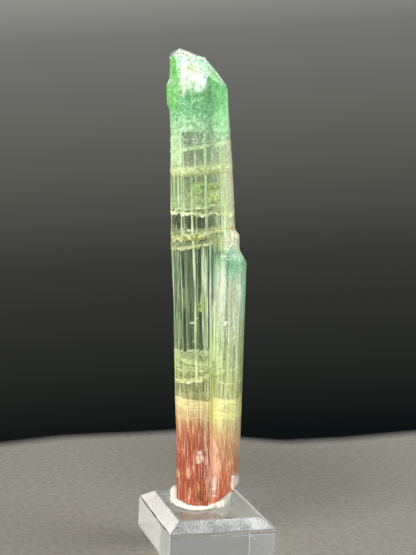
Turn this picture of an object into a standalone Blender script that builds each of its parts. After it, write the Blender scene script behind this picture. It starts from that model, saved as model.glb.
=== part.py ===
"""A tourmaline crystal, green at its tip and red at its foot, on a clear display base.

Three solids, in metres, +Z up, with the origin at the centre of the base's underside:

  tourmaline_crystal  a leaning three-sided prism with a slanting cap, and the shorter
                      parallel crystal grown together with its front right side
  mineral_putty       the lumpy wad that holds the crystal's broken foot
  acrylic_stand       the clear bevelled block underneath

The crystal is built in its own frame, which is turned on the base: "across" runs to the
right of its broad front face, "forward" runs out of that face, and "up" is +Z.
Lengths below are in millimetres and become metres where a vertex is made.
"""
import math
import random

import bmesh
import bpy
from mathutils import Vector

MM = 0.001

# ---- driving dimensions, millimetres ------------------------------------------------------
STAND_WIDTH = 20.0            # along X, a three-quarter-inch display base
STAND_DEPTH = 22.0            # along Y
STAND_HEIGHT = 7.6
BEVEL_WIDTH = 2.4             # the wide polished bevel round the top
BEVEL_DROP = 1.7
EDGE_BREAK = 0.12             # the small chamfer that every edge of the block has

CRYSTAL_TURN = -17.9          # degrees from the base's front edge to the crystal's "across"
GAP = 0.3                     # left between neighbouring solids

# Cross-section of the main prism: three broad sides and three narrow ones at 120 degrees.
BROAD_SIDE = 8.1
NARROW_SIDE = 3.33
FACE_TURN = 16.1              # degrees that the broad front face looks to the right
FLUTE_DEPTH = 0.13
AXIS_FOOT = (8.0, -0.35)      # height and across of the prism's axis at the foot
AXIS_TOP = (84.0, -5.65)
AXIS_FORWARD = -1.0
DEPTH_FOOT = 1.0              # the section's depth scale at the foot and at the top
DEPTH_TOP = 0.94

# Left and right edge of the main prism (across) at each height where its outline changes.
EDGES_MAIN = (
    # height, left, right
    (6.0, -5.3, 5.2),
    (14.7, -5.84, 5.1),
    (21.6, -6.2, 4.9),
    (27.7, -6.69, 4.7),
    (36.9, -7.32, 4.4),
    (46.0, -7.9, 4.1),
    (55.6, -8.8, 3.63),
    (57.9, -8.92, 3.5),
    (59.0, -9.0, 2.65),       # the ledge where the right side steps in
    (66.1, -9.4, 1.98),
    (71.0, -9.65, 1.48),
    (76.4, -9.92, 0.8),
    (79.9, -10.2, 0.38),
    (80.8, -10.72, 0.27),     # the overgrowth on the left edge below the cap
    (84.0, -11.0, -0.02),
    (85.3, -10.5, -0.12),
    (94.0, -10.8, -0.5),
)

# The right part of the front face is set back behind a step that runs the whole length.
STEP_ACROSS_FOOT = 1.0        # where the step starts, from the axis
STEP_ACROSS_TOP = 1.55
STEP_WIDTH = 0.75             # how far it spreads to the right as it goes back
STEP_DEPTH = ((6.0, 0.25), (15.0, 0.5), (30.0, 1.2), (55.0, 1.6), (94.0, 1.75))

# Points and swelling of each side, from the front left corner round the left to the step.
MAIN_COUNTS = (7, 19, 7, 19, 5, 7, 3, 12)
MAIN_BOW = (0.08, 0.45, 0.08, 0.45, 0.05, 0.1, 0.0, 0.22)

# Side crystal, parallel to the main one and standing on the set-back part of its front.
SIDE_LEVELS = (7.0, 16.0, 26.0, 36.0, 47.5, 49.5, 58.0)
SIDE_RIGHT_FOOT = 6.0         # its right edge
SIDE_RIGHT_TOP = 5.0
SIDE_LEFT_FACE = 2.15
SIDE_OTHER_FACES = (2.75, 4.5, 3.5, 4.0)     # front, right, and two buried in the main prism
SIDE_PROUD_FOOT = 0.5         # how far its front stands out of the main front face
SIDE_PROUD_TOP = 1.1
SIDE_STEP = (47.5, 49.5)      # heights between which its left face steps out, going down
SIDE_STEP_WIDTH = 0.95
SIDE_COUNTS = (7, 5, 4, 5, 9, 8)
SIDE_BOW = (0.05, 0.0, 0.0, 0.05, 0.15, 0.12)
SIDE_FLUTE_DEPTH = 0.07

# Cap and foot faces. Each is height = level + slope_across * across + slope_forward * forward,
# and the prism is kept below a cap face and above a foot face. The cap faces of the main
# prism measure forward from its axis, and those of the side crystal are placed by its apex.
CAP_MAIN = (
    (85.44, -0.847, -1.241),  # big steep face at the front
    (86.74, -0.535, -0.550),  # thin strip under the crest
    (84.86, -0.956, -0.550),  # thin strip under the crest's right end
    (89.75, -0.044, 0.550),   # back slope
    (86.90, -0.750, 0.750),   # right back slope
    (84.71, -1.142, 0.350),   # right shoulder
    (83.80, -1.559, 0.300),   # lower right shoulder
    (98.25, 0.800, -0.250),   # left shoulder
    (135.0, 1.860, -7.460),   # narrow flat on the front left edge, dying out below
)
SIDE_APEX = (2.2, 56.7)       # across and height of the side crystal's tip
SIDE_APEX_BACK = 1.9          # how far the tip lies behind the front face
CAP_SIDE = (
    (0.0, -0.847, -1.241),    # parallel to the big face of the main cap
    (0.0, 1.050, -0.200),
    (0.0, -0.730, 0.150),
    (0.9, -1.500, 0.200),
    (0.0, 0.050, 0.550),
)
FOOT_MAIN = (
    (8.00, 0.000, 0.000),
    (7.92, -0.190, 0.000),    # rises to the left
    (6.63, 0.860, 0.200),     # chip out of the right front corner
)
FOOT_SIDE = (
    (8.60, 0.050, 0.050),
    (6.75, 0.840, 0.200),
)
FOOT_START = 6.0              # height at which the uncut prism starts
SOCKET_TOP = 14.0             # height of the stubs that cut the crystal's socket in the putty

# Putty: for each bearing round the foot (degrees, 0 = right, 90 = forward), how far its rim
# lies outside the prism's section and how high it stands.
PUTTY_RIM = (
    # bearing, outside, height
    (0, -1.1, 2.2),
    (25, -1.0, 2.6),
    (55, 0.1, 1.3),
    (80, 0.5, 0.95),
    (105, 0.55, 1.0),
    (130, 0.85, 1.4),
    (155, 1.0, 1.8),
    (180, 1.35, 2.1),
    (205, 1.4, 2.1),
    (235, 1.1, 1.7),
    (270, 1.0, 1.9),
    (305, 1.2, 1.6),
    (335, 0.2, 1.8),
    (360, -1.1, 2.2),
)
PUTTY_CENTRE = (0.0, -1.3)    # across, forward
PUTTY_POINTS = 60
PUTTY_ROUNDING = 2.4
PUTTY_PROFILE = ((0.88, 0.0), (1.0, 0.3), (0.97, 0.72), (0.8, 1.0), (0.3, 1.0))
PUTTY_LUMP = 0.08


# ---- frame and number helpers -------------------------------------------------------------
def to_world(across, forward, up):
    """A point of the crystal's frame, in metres in the part's frame."""
    turn = math.radians(CRYSTAL_TURN)
    x = across * math.cos(turn) + forward * math.sin(turn)
    y = across * math.sin(turn) - forward * math.cos(turn)
    return Vector((x, y, up)) * MM


def along(table, place, column=1):
    """The value of a column at a place, straight between the rows of a table."""
    for low, high in zip(table, table[1:]):
        if place <= high[0]:
            share = max(0.0, (place - low[0]) / (high[0] - low[0]))
            return low[column] + share * (high[column] - low[column])
    return table[-1][column]


def blend(low, high, share):
    return low + (high - low) * min(1.0, max(0.0, share))


# ---- outlines -----------------------------------------------------------------------------
def walk_polygon(start, heading, lengths, turn):
    """Corners of a polygon walked side by side, turning by the same angle at each corner."""
    corners = [start]
    for length in lengths:
        across = corners[-1][0] + length * math.cos(heading)
        forward = corners[-1][1] + length * math.sin(heading)
        corners.append((across, forward))
        heading += turn
    return corners


def outward(before, after):
    """The outward normal of the side from one point to the next, going round by the left."""
    length = math.dist(before, after)
    return (after[1] - before[1]) / length, (before[0] - after[0]) / length


def fluted(corners, counts, bow, flutes):
    """Points round a closed polygon, its sides bowed out and fluted between the corners."""
    points = []
    for index, count in enumerate(counts):
        a = corners[index]
        b = corners[(index + 1) % len(corners)]
        normal = outward(a, b)
        for step in range(count):
            share = step / count
            out = bow[index] * 4 * share * (1 - share)
            if step:
                out += flutes(len(points))
            across = a[0] + (b[0] - a[0]) * share + normal[0] * out
            forward = a[1] + (b[1] - a[1]) * share + normal[1] * out
            points.append((across, forward))
    return points


def grown(points, distance):
    """The closed outline moved outwards by a distance."""
    moved = []
    for index, (across, forward) in enumerate(points):
        normal = outward(points[index - 1], points[(index + 1) % len(points)])
        moved.append((across + normal[0] * distance, forward + normal[1] * distance))
    return moved


def flute_field(seed, depth):
    """How proud a flute is, by point number and height: each one swells and fades going up."""
    chance = random.Random(seed)
    rows = [(chance.uniform(-1, 1), chance.uniform(0.03, 0.11), chance.uniform(0, math.tau))
            for _ in range(sum(MAIN_COUNTS))]

    def proud(number, height):
        size, rate, phase = rows[number]
        return depth * size * (0.65 + 0.35 * math.cos(phase + rate * height))
    return proud


def main_axis(height):
    """The share of the way up, the axis's place across, and the depth scale at a height."""
    share = (height - AXIS_FOOT[0]) / (AXIS_TOP[0] - AXIS_FOOT[0])
    axis = AXIS_FOOT[1] + (AXIS_TOP[1] - AXIS_FOOT[1]) * share
    return share, axis, blend(DEPTH_FOOT, DEPTH_TOP, share)


def six_corners():
    """Corners of the unit section about its axis, from the front left one round the left."""
    turn = math.radians(FACE_TURN)
    to_front = (BROAD_SIDE + 2 * NARROW_SIDE) * math.sqrt(3) / 6
    front_left = (to_front * math.sin(turn) - BROAD_SIDE / 2 * math.cos(turn),
                  to_front * math.cos(turn) + BROAD_SIDE / 2 * math.sin(turn))
    heading = math.pi - turn + math.radians(60)
    lengths = (NARROW_SIDE, BROAD_SIDE, NARROW_SIDE, BROAD_SIDE, NARROW_SIDE)
    return walk_polygon(front_left, heading, lengths, math.radians(60))


def stepped_corners(height, share):
    """The six corners, with the front face set back to the right of its step."""
    corners = six_corners()
    front_left = corners[0]
    front_right = corners[5]
    turn = math.radians(FACE_TURN)
    set_back = along(STEP_DEPTH, height)
    down_side = turn + math.radians(60)
    shortened = set_back / math.sin(math.radians(60))
    right = (front_right[0] + shortened * math.cos(down_side),
             front_right[1] - shortened * math.sin(down_side))
    start = blend(STEP_ACROSS_FOOT, STEP_ACROSS_TOP, share)
    end = start + STEP_WIDTH
    outer = (start, front_left[1] - math.tan(turn) * (start - front_left[0]))
    inner = (end, front_left[1] - math.tan(turn) * (end - front_left[0]) - set_back / math.cos(turn))
    return corners[:5] + [right, inner, outer]


def main_section(height, flutes):
    """Points of the main prism's section, stretched to its left and right edge there."""
    share, axis, depth = main_axis(height)
    corners = stepped_corners(height, share)
    left = (along(EDGES_MAIN, height, 1) - axis) / min(corner[0] for corner in corners)
    right = (along(EDGES_MAIN, height, 2) - axis) / max(corner[0] for corner in corners)
    section = []
    for across, forward in fluted(corners, MAIN_COUNTS, MAIN_BOW,
                                  lambda number: flutes(number, height)):
        stretch = right if across > 0 else left
        section.append((axis + across * stretch, AXIS_FORWARD + forward * depth))
    return section


def front_of_main(across, height):
    """How far forward the main prism's front face lies, left of its step."""
    _, axis, depth = main_axis(height)
    corner = six_corners()[0]
    slope = math.tan(math.radians(FACE_TURN))
    return AXIS_FORWARD + depth * corner[1] - slope * (across - axis - corner[0])


def side_section(height, flutes):
    """Points of the side crystal's section, from its front left corner round the left."""
    share = (height - SIDE_LEVELS[0]) / (SIDE_LEVELS[-1] - SIDE_LEVELS[0])
    turn = math.radians(FACE_TURN)
    front_face, right_face = SIDE_OTHER_FACES[:2]
    reach = front_face * math.cos(turn) + right_face * math.cos(turn + math.radians(60))
    start_across = blend(SIDE_RIGHT_FOOT, SIDE_RIGHT_TOP, share) - reach
    proud = blend(SIDE_PROUD_FOOT, SIDE_PROUD_TOP, share)
    start = (start_across, front_of_main(start_across, height) + proud)
    by_the_right = walk_polygon(start, -turn, SIDE_OTHER_FACES, math.radians(-60))
    stepped = blend(SIDE_STEP_WIDTH, 0, (height - SIDE_STEP[0]) / (SIDE_STEP[1] - SIDE_STEP[0]))
    left_face = SIDE_LEFT_FACE + stepped
    heading = math.pi - turn + math.radians(60)
    left_end = (start[0] + left_face * math.cos(heading), start[1] + left_face * math.sin(heading))
    corners = [start, left_end] + by_the_right[:0:-1]
    return fluted(corners, SIDE_COUNTS, SIDE_BOW, lambda number: flutes(number, height))


# ---- solids -------------------------------------------------------------------------------
def loft(rings):
    """A closed body through rings of points given in metres."""
    shape = bmesh.new()
    made = [[shape.verts.new(point) for point in ring] for ring in rings]
    for low, high in zip(made, made[1:]):
        for index in range(len(low)):
            after = (index + 1) % len(low)
            shape.faces.new((low[index], low[after], high[after], high[index]))
    shape.faces.new(made[0])
    shape.faces.new(made[-1])
    bmesh.ops.recalc_face_normals(shape, faces=shape.faces)
    return shape


def cut_face(shape, level, slope_across, slope_forward, keep_below):
    """Cut a body by one sloping plane and close the cut with a flat face."""
    origin = to_world(0, 0, level)
    to_right = to_world(1, 0, level + slope_across) - origin
    to_front = to_world(0, 1, level + slope_forward) - origin
    removed_side = to_front.cross(to_right).normalized()
    if (removed_side.z > 0) != keep_below:
        removed_side.negate()
    everything = shape.verts[:] + shape.edges[:] + shape.faces[:]
    cut = bmesh.ops.bisect_plane(shape, geom=everything, dist=1e-8, plane_co=origin,
                                 plane_no=removed_side, clear_outer=True)
    rim = [item for item in cut["geom_cut"]
           if isinstance(item, bmesh.types.BMEdge) and item.is_boundary]
    if rim:
        bmesh.ops.holes_fill(shape, edges=rim, sides=0)
    bmesh.ops.dissolve_degenerate(shape, dist=1e-7, edges=shape.edges)


def make_object(name, shape, material=None):
    """An object from a finished body; without a material it is a guide that never renders."""
    bmesh.ops.triangulate(shape, faces=shape.faces)
    bmesh.ops.recalc_face_normals(shape, faces=shape.faces)
    mesh = bpy.data.meshes.new(name)
    shape.to_mesh(mesh)
    shape.free()
    thing = bpy.data.objects.new(name, mesh)
    bpy.context.scene.collection.objects.link(thing)
    if material:
        mesh.materials.append(material)
    else:
        thing.hide_render = True
        thing.display_type = "WIRE"
    return thing


def prism(section, heights, grow):
    """A loft through a section function's outlines, moved outwards by grow."""
    rings = []
    for height in heights:
        outline = grown(section(height), grow)
        rings.append([to_world(across, forward, height) for across, forward in outline])
    return loft(rings)


def main_prism(grow=0.0, socket=False):
    """The main crystal, or the slightly larger stub that cuts its socket in the putty."""
    flutes = flute_field(11, FLUTE_DEPTH)
    heights = (FOOT_START, SOCKET_TOP) if socket else [row[0] for row in EDGES_MAIN]
    shape = prism(lambda height: main_section(height, flutes), heights, grow)
    if not socket:
        for level, across, forward in CAP_MAIN:
            cut_face(shape, level - forward * AXIS_FORWARD, across, forward, keep_below=True)
    for level, across, forward in FOOT_MAIN:
        cut_face(shape, level - grow, across, forward, keep_below=False)
    return shape


def side_prism(grow=0.0, socket=False):
    """The side crystal, or the slightly larger stub that cuts its socket in the putty."""
    flutes = flute_field(29, SIDE_FLUTE_DEPTH)
    heights = (SIDE_LEVELS[0], SOCKET_TOP) if socket else SIDE_LEVELS
    shape = prism(lambda height: side_section(height, flutes), heights, grow)
    if not socket:
        apex_across, apex_height = SIDE_APEX
        apex_forward = front_of_main(apex_across, apex_height) + SIDE_PROUD_TOP - SIDE_APEX_BACK
        for lift, across, forward in CAP_SIDE:
            level = apex_height + lift - across * apex_across - forward * apex_forward
            cut_face(shape, level, across, forward, keep_below=True)
    for level, across, forward in FOOT_SIDE:
        cut_face(shape, level - grow, across, forward, keep_below=False)
    return shape


def add_boolean(thing, guide, operation):
    boolean = thing.modifiers.new(guide.name, "BOOLEAN")
    boolean.operation = operation
    boolean.solver = "EXACT"
    boolean.object = guide
    boolean.show_render = boolean.show_viewport


def tourmaline_crystal(material):
    crystal = make_object("tourmaline_crystal", main_prism(), material)
    add_boolean(crystal, make_object("side_crystal_guide", side_prism()), "UNION")


def foot_reach(direction):
    """How far the prism's section reaches from the putty's centre in a direction."""
    outline = main_section(AXIS_FOOT[0], lambda number, height: 0.0)
    reach = 0.0
    for point in outline:
        across = point[0] - PUTTY_CENTRE[0]
        forward = point[1] - PUTTY_CENTRE[1]
        aside = abs(across * direction[1] - forward * direction[0])
        if aside < 0.9:
            reach = max(reach, across * direction[0] + forward * direction[1])
    return reach


def putty_rings():
    """Rings of the putty from its flat underside over its rounded rim to its middle."""
    chance = random.Random(5)
    lumps = [(chance.randint(5, 13), chance.uniform(0, math.tau)) for _ in range(3)]
    rings = [[] for _ in PUTTY_PROFILE]
    for index in range(PUTTY_POINTS):
        bearing = 360 * index / PUTTY_POINTS
        angle = math.radians(bearing)
        direction = (math.cos(angle), math.sin(angle))
        lump = sum(math.sin(rate * angle + phase) for rate, phase in lumps)
        rim = foot_reach(direction) + along(PUTTY_RIM, bearing, 1) + PUTTY_LUMP * lump
        height = along(PUTTY_RIM, bearing, 2) * (1 + PUTTY_LUMP * lump)
        for ring, (out, up) in zip(rings, PUTTY_PROFILE):
            reach = rim - (1 - out) * PUTTY_ROUNDING
            ring.append(to_world(PUTTY_CENTRE[0] + direction[0] * reach,
                                 PUTTY_CENTRE[1] + direction[1] * reach,
                                 STAND_HEIGHT + GAP + height * up))
    return rings


def mineral_putty(material):
    putty = make_object("mineral_putty", loft(putty_rings()), material)
    putty.data.shade_smooth()
    main_socket = make_object("main_socket_guide", main_prism(grow=GAP, socket=True))
    side_socket = make_object("side_socket_guide", side_prism(grow=GAP, socket=True))
    add_boolean(putty, main_socket, "DIFFERENCE")
    add_boolean(putty, side_socket, "DIFFERENCE")


def acrylic_stand(material):
    """The clear block: straight sides, one wide bevel round the top, every edge broken."""
    levels = ((0.0, 0.0), (STAND_HEIGHT - BEVEL_DROP, 0.0), (STAND_HEIGHT, BEVEL_WIDTH))
    rings = []
    for height, inset in levels:
        x = STAND_WIDTH / 2 - inset
        y = STAND_DEPTH / 2 - inset
        rings.append([Vector(corner) * MM
                      for corner in ((-x, -y, height), (x, -y, height), (x, y, height), (-x, y, height))])
    stand = make_object("acrylic_stand", loft(rings), material)
    edge_break = stand.modifiers.new("edge_break", "BEVEL")
    edge_break.width = EDGE_BREAK * MM
    edge_break.segments = 1
    edge_break.limit_method = "ANGLE"
    edge_break.angle_limit = math.radians(20)
    edge_break.show_render = edge_break.show_viewport


# ---- materials ----------------------------------------------------------------------------
def make_material(name, colour, roughness, transmission=0.0, ior=1.5):
    material = bpy.data.materials.new(name)
    material.use_nodes = True
    shader = material.node_tree.nodes["Principled BSDF"]
    shader.inputs["Base Color"].default_value = (*colour, 1.0)
    shader.inputs["Roughness"].default_value = roughness
    shader.inputs["Metallic"].default_value = 0.0
    shader.inputs["Transmission Weight"].default_value = transmission
    shader.inputs["IOR"].default_value = ior
    return material


def colour_zones(material, zones):
    """Colour a material by height: red foot, pale middle, green tip."""
    tree = material.node_tree
    place = tree.nodes.new("ShaderNodeTexCoord")
    split = tree.nodes.new("ShaderNodeSeparateXYZ")
    share = tree.nodes.new("ShaderNodeMapRange")
    ramp = tree.nodes.new("ShaderNodeValToRGB")
    share.inputs["From Min"].default_value = zones[0][0] * MM
    share.inputs["From Max"].default_value = zones[-1][0] * MM
    span = zones[-1][0] - zones[0][0]
    while len(ramp.color_ramp.elements) < len(zones):
        ramp.color_ramp.elements.new(1.0)
    for element, (height, colour) in zip(ramp.color_ramp.elements, zones):
        element.position = (height - zones[0][0]) / span
        element.color = (*colour, 1.0)
    tree.links.new(place.outputs["Object"], split.inputs["Vector"])
    tree.links.new(split.outputs["Z"], share.inputs["Value"])
    tree.links.new(share.outputs["Result"], ramp.inputs["Fac"])
    tree.links.new(ramp.outputs["Color"], tree.nodes["Principled BSDF"].inputs["Base Color"])


CRYSTAL_ZONES = (
    # height, colour
    (8.0, (0.55, 0.13, 0.08)),
    (21.0, (0.62, 0.24, 0.14)),
    (24.0, (0.80, 0.74, 0.40)),
    (38.0, (0.62, 0.78, 0.42)),
    (70.0, (0.55, 0.78, 0.45)),
    (80.0, (0.20, 0.62, 0.28)),
    (91.0, (0.14, 0.55, 0.18)),
)


def build():
    for thing in list(bpy.data.objects):
        bpy.data.objects.remove(thing, do_unlink=True)
    tourmaline = make_material("tourmaline", (0.42, 0.66, 0.34), 0.06, 0.85, 1.63)
    colour_zones(tourmaline, CRYSTAL_ZONES)
    tourmaline_crystal(tourmaline)
    mineral_putty(make_material("putty", (0.83, 0.80, 0.70), 0.7))
    acrylic_stand(make_material("acrylic", (0.95, 0.96, 0.95), 0.03, 1.0, 1.49))


build()
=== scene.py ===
# %% [markdown]
# # A watermelon tourmaline on a clear display base
# The object is a long three-sided crystal, green and cloudy at its tip, clear in the
# middle and red at its foot, with a shorter crystal grown together with its right side.
# A wad of mineral putty holds the broken foot on a bevelled block of clear acrylic.
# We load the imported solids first, because every piece is made in their frame: metres,
# +Z up, with the origin at the centre of the block's underside.

# %% Load the frame
import math
import random

import bpy
from mathutils import Matrix, Vector, noise


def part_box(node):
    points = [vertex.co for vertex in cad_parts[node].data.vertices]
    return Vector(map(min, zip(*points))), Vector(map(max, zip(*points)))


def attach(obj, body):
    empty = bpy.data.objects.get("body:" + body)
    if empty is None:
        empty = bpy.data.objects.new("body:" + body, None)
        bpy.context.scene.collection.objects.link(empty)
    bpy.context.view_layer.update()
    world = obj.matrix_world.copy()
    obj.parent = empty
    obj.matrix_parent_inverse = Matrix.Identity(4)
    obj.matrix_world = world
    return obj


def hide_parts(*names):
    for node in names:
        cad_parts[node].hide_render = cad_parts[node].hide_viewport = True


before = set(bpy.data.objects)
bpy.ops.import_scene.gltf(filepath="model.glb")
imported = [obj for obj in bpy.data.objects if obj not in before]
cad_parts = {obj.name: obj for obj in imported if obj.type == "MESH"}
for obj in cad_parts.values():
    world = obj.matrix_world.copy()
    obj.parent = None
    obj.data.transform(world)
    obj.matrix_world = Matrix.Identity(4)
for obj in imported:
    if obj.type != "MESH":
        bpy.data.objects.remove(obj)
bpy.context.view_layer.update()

MM = 0.001
base_low, base_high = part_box("acrylic_stand")
crystal_low, crystal_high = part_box("tourmaline_crystal")
print("solids:", ", ".join(sorted(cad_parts)))
print("block: %.1f mm wide, %.1f mm high" % ((base_high.x - base_low.x) / MM, base_high.z / MM))
print("crystal stands from %.1f to %.1f mm" % (crystal_low.z / MM, crystal_high.z / MM))

# %% [markdown]
# ## The viewpoint
# A long lens a hand's breadth from the crystal, looking slightly down, keeps the prism's
# sides nearly parallel. The camera could be aimed with a constraint, but three plain
# turns (heading, tilt, roll) say exactly where it looks.

# %% Camera
HEADING, TILT, ROLL = math.radians(-17.9), math.radians(90 - 8.1), math.radians(3.0)
turns = (Matrix.Rotation(HEADING, 3, "Z") @ Matrix.Rotation(TILT, 3, "X")
         @ Matrix.Rotation(ROLL, 3, "Z"))
bpy.ops.object.camera_add(location=(-67.4 * MM, -202.7 * MM, 80.5 * MM), rotation=turns.to_euler())
camera = bpy.context.object
camera.name = "camera"
camera.data.lens = 77
camera.data.sensor_width = 36
camera.data.clip_start = 0.005
bpy.context.scene.camera = camera
print("camera is %.0f mm from the crystal" % (camera.location.length / MM))

# %% [markdown]
# ## Small helpers
# An operator works on whatever is selected, and the loaded solids start out selected, so
# each piece begins by selecting nothing. The crystal has a frame of its own, turned on
# the block: "across" runs to the right of its broad front face and "forward" out of it.

# %% Selecting, and the crystal's own frame
CRYSTAL_TURN = math.radians(-17.9)


def select_only(*things):
    """Leave edit mode and select just these objects, the last one active."""
    if bpy.context.object and bpy.context.object.mode != "OBJECT":
        bpy.ops.object.mode_set(mode="OBJECT")
    bpy.ops.object.select_all(action="DESELECT")
    for thing in things:
        thing.select_set(True)
        bpy.context.view_layer.objects.active = thing


def edit_all():
    """Enter edit mode on the active piece, with all of it selected."""
    bpy.ops.object.mode_set(mode="EDIT")
    bpy.ops.mesh.select_all(action="SELECT")


def edit_selected(piece, kind, wanted):
    """Enter edit mode with just the wanted faces or edges of a piece selected."""
    select_only(piece)
    bpy.ops.object.mode_set(mode="EDIT")
    bpy.context.tool_settings.mesh_select_mode = (False, kind == "EDGE", kind == "FACE")
    bpy.ops.mesh.select_all(action="DESELECT")
    bpy.ops.object.mode_set(mode="OBJECT")
    for part in piece.data.edges if kind == "EDGE" else piece.data.polygons:
        part.select = wanted(part)
    bpy.ops.object.mode_set(mode="EDIT")


def edit_done():
    bpy.ops.object.mode_set(mode="OBJECT")
    bpy.context.tool_settings.mesh_select_mode = (True, False, False)


def extrude_up(rise):
    bpy.ops.mesh.extrude_region_move(TRANSFORM_OT_translate={"value": (0, 0, rise)})


def face_outwards():
    edit_all()
    bpy.ops.mesh.normals_make_consistent(inside=False)
    edit_done()


def crystal_point(across, forward, up):
    """A point of the crystal's frame, given in millimetres."""
    x = across * math.cos(CRYSTAL_TURN) + forward * math.sin(CRYSTAL_TURN)
    y = across * math.sin(CRYSTAL_TURN) - forward * math.cos(CRYSTAL_TURN)
    return Vector((x, y, up)) * MM


def along(table, where, column=1):
    """Read a column of a table at a place, straight between its rows."""
    for low, high in zip(table, table[1:]):
        if where <= high[0]:
            share = max(0.0, (where - low[0]) / (high[0] - low[0]))
            return low[column] + share * (high[column] - low[column])
    return table[-1][column]


def mix(low, high, share):
    return low + (high - low) * min(1.0, max(0.0, share))


def finish_piece(piece, materials, slot, *stands_for):
    """Give a finished piece its materials, and let it ride on the base."""
    indices = [min(polygon.material_index, len(materials) - 1) for polygon in piece.data.polygons]
    piece.data.materials.clear()
    for each in materials:
        piece.data.materials.append(each)
    piece.data.polygons.foreach_set("material_index", indices)
    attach(piece, "root")
    if stands_for:
        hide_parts(*stands_for)
    print("%-18s %6d faces" % (piece.name, len(piece.data.polygons)))


print("crystal's right lies along", [round(c / MM, 2) for c in crystal_point(1, 0, 0)])

# %% [markdown]
# ## Floor, room and lights
# The crystal was set on a pale table in front of a darker room. What shows through clear
# stone is that room, so the room is part of the look: nearly black just above the table
# and a soft grey higher up. The table is a plain sheet that ends a hand behind the base.

# %% Table
TABLE_FRONT, TABLE_MIDDLE, TABLE_HALF_WIDTH, SOFT_STRIP, BELOW_BASE = -75.0, 20.0, 95.0, 6.0, 0.05
TABLE_FAR_EDGE = (
    (-95, 60), (-28.5, 71.3), (-13.4, 75.5), (10, 76.5), (18, 77.4), (30, 69), (40, 64.4),
    (57, 65.1), (80, 68.9), (95, 71),
)
select_only()
bpy.ops.mesh.primitive_grid_add(x_subdivisions=60, y_subdivisions=3, size=1)
table = bpy.context.object
table.name = "table"
edge_layer = table.data.attributes.new("from_edge", "FLOAT", "POINT")
for vertex in table.data.vertices:
    x = vertex.co.x * 2 * TABLE_HALF_WIDTH
    far = along(TABLE_FAR_EDGE, x)
    row = round((vertex.co.y + 0.5) * 3)
    y = (TABLE_FRONT, TABLE_MIDDLE, far - SOFT_STRIP, far)[row]
    vertex.co = Vector((x, y, -BELOW_BASE)) * MM
    edge_layer.data[vertex.index].value = 0.0 if row == 3 else 1.0
print("table: %d points, far edge from %.0f to %.0f mm"
      % (len(table.data.vertices), TABLE_FAR_EDGE[0][1], far))


# %% Node helpers
def new_material(name):
    """A fresh node material and its shader."""
    material = bpy.data.materials.new(name)
    material.use_nodes = True
    return material, material.node_tree, material.node_tree.nodes["Principled BSDF"]


def plug(tree, made, inputs):
    """Link each input that is given as a socket, and set the plain ones."""
    for name, value in inputs.items():
        if isinstance(value, bpy.types.NodeSocket):
            tree.links.new(value, made.inputs[name])
        else:
            made.inputs[name].default_value = value
    return made


def node(tree, kind, inputs=None, **settings):
    """Add a node with these settings and inputs."""
    made = tree.nodes.new(kind)
    for name, value in settings.items():
        setattr(made, name, value)
    return plug(tree, made, inputs or {})


def maths(tree, operation, *values, clamp=False):
    return node(tree, "ShaderNodeMath", dict(enumerate(values)), operation=operation,
                use_clamp=clamp).outputs[0]


def times(tree, first, *others):
    for other in others:
        first = maths(tree, "MULTIPLY", first, other)
    return first


def plus(tree, first, *others):
    for other in others:
        first = maths(tree, "ADD", first, other)
    return first


def spread(tree, value, low, high, to_low=0.0, to_high=1.0):
    """Map a range onto another, clamped."""
    made = node(tree, "ShaderNodeMapRange", {"Value": value, "From Min": low, "From Max": high,
                                             "To Min": to_low, "To Max": to_high})
    return made.outputs["Result"]


def noise_of(tree, vector, scale, detail=3.0, roughness=0.5, distortion=0.0):
    made = node(tree, "ShaderNodeTexNoise", {"Vector": vector, "Scale": scale, "Detail": detail,
                                             "Roughness": roughness, "Distortion": distortion})
    return made.outputs["Fac"]


def vector_maths(tree, operation, vector, other):
    made = node(tree, "ShaderNodeVectorMath", {0: vector, 1: other}, operation=operation)
    return made.outputs["Value"]


def scaled(tree, colour, share):
    """A colour made lighter or darker."""
    return node(tree, "ShaderNodeVectorMath", {0: colour, "Scale": share}, operation="SCALE").outputs["Vector"]


def painted(tree, name):
    """The value that is stored in a piece's points under this name."""
    return node(tree, "ShaderNodeAttribute", attribute_name=name).outputs["Fac"]


def rgb(hundredths):
    """A colour from its parts in hundredths, or a grey from one number."""
    parts = hundredths if isinstance(hundredths, tuple) else (hundredths,) * 3
    return tuple(part / 100 for part in parts)


def ramp(tree, factor, stops):
    """A colour ramp; a stop is a position and a colour in hundredths."""
    made = node(tree, "ShaderNodeValToRGB", {"Fac": factor})
    elements = made.color_ramp.elements
    while len(elements) < len(stops):
        elements.new(1.0)
    for element, (position, colour) in zip(elements, stops):
        element.position = position
        element.color = (*rgb(colour), 1)
    return made.outputs["Color"]


# %% Table surface
TABLE_GRAIN = [(0.3, (18.5, 17.7, 15.1)), (0.7, (30.5, 29.3, 25.0))]
# PAINTED_SHADOW_SPOT is the middle of a painted shadow: the table is darker round it, behind the base, where
# the crystal's soft shadow falls.
PAINTED_SHADOW_SPOT = (0.027, 0.045, 0)
table_paint, tree, shader = new_material("table_paint")
spot = node(tree, "ShaderNodeTexCoord").outputs["Object"]
grain = ramp(tree, noise_of(tree, spot, 900.0, 6.0, 0.7), TABLE_GRAIN)
from_painted_shadow = vector_maths(tree, "DISTANCE", spot, PAINTED_SHADOW_SPOT)
# The painted shadow: the table's colour falls to 0.70 near that spot and is full again about 42 mm away.
plug(tree, shader, {
    "Base Color": scaled(tree, grain, spread(tree, from_painted_shadow, 0.004, 0.042, 0.70)),
    "Alpha": painted(tree, "from_edge"), "Roughness": 0.8})
table.data.materials.append(table_paint)
print("table paint:", len(tree.nodes), "nodes")

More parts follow.
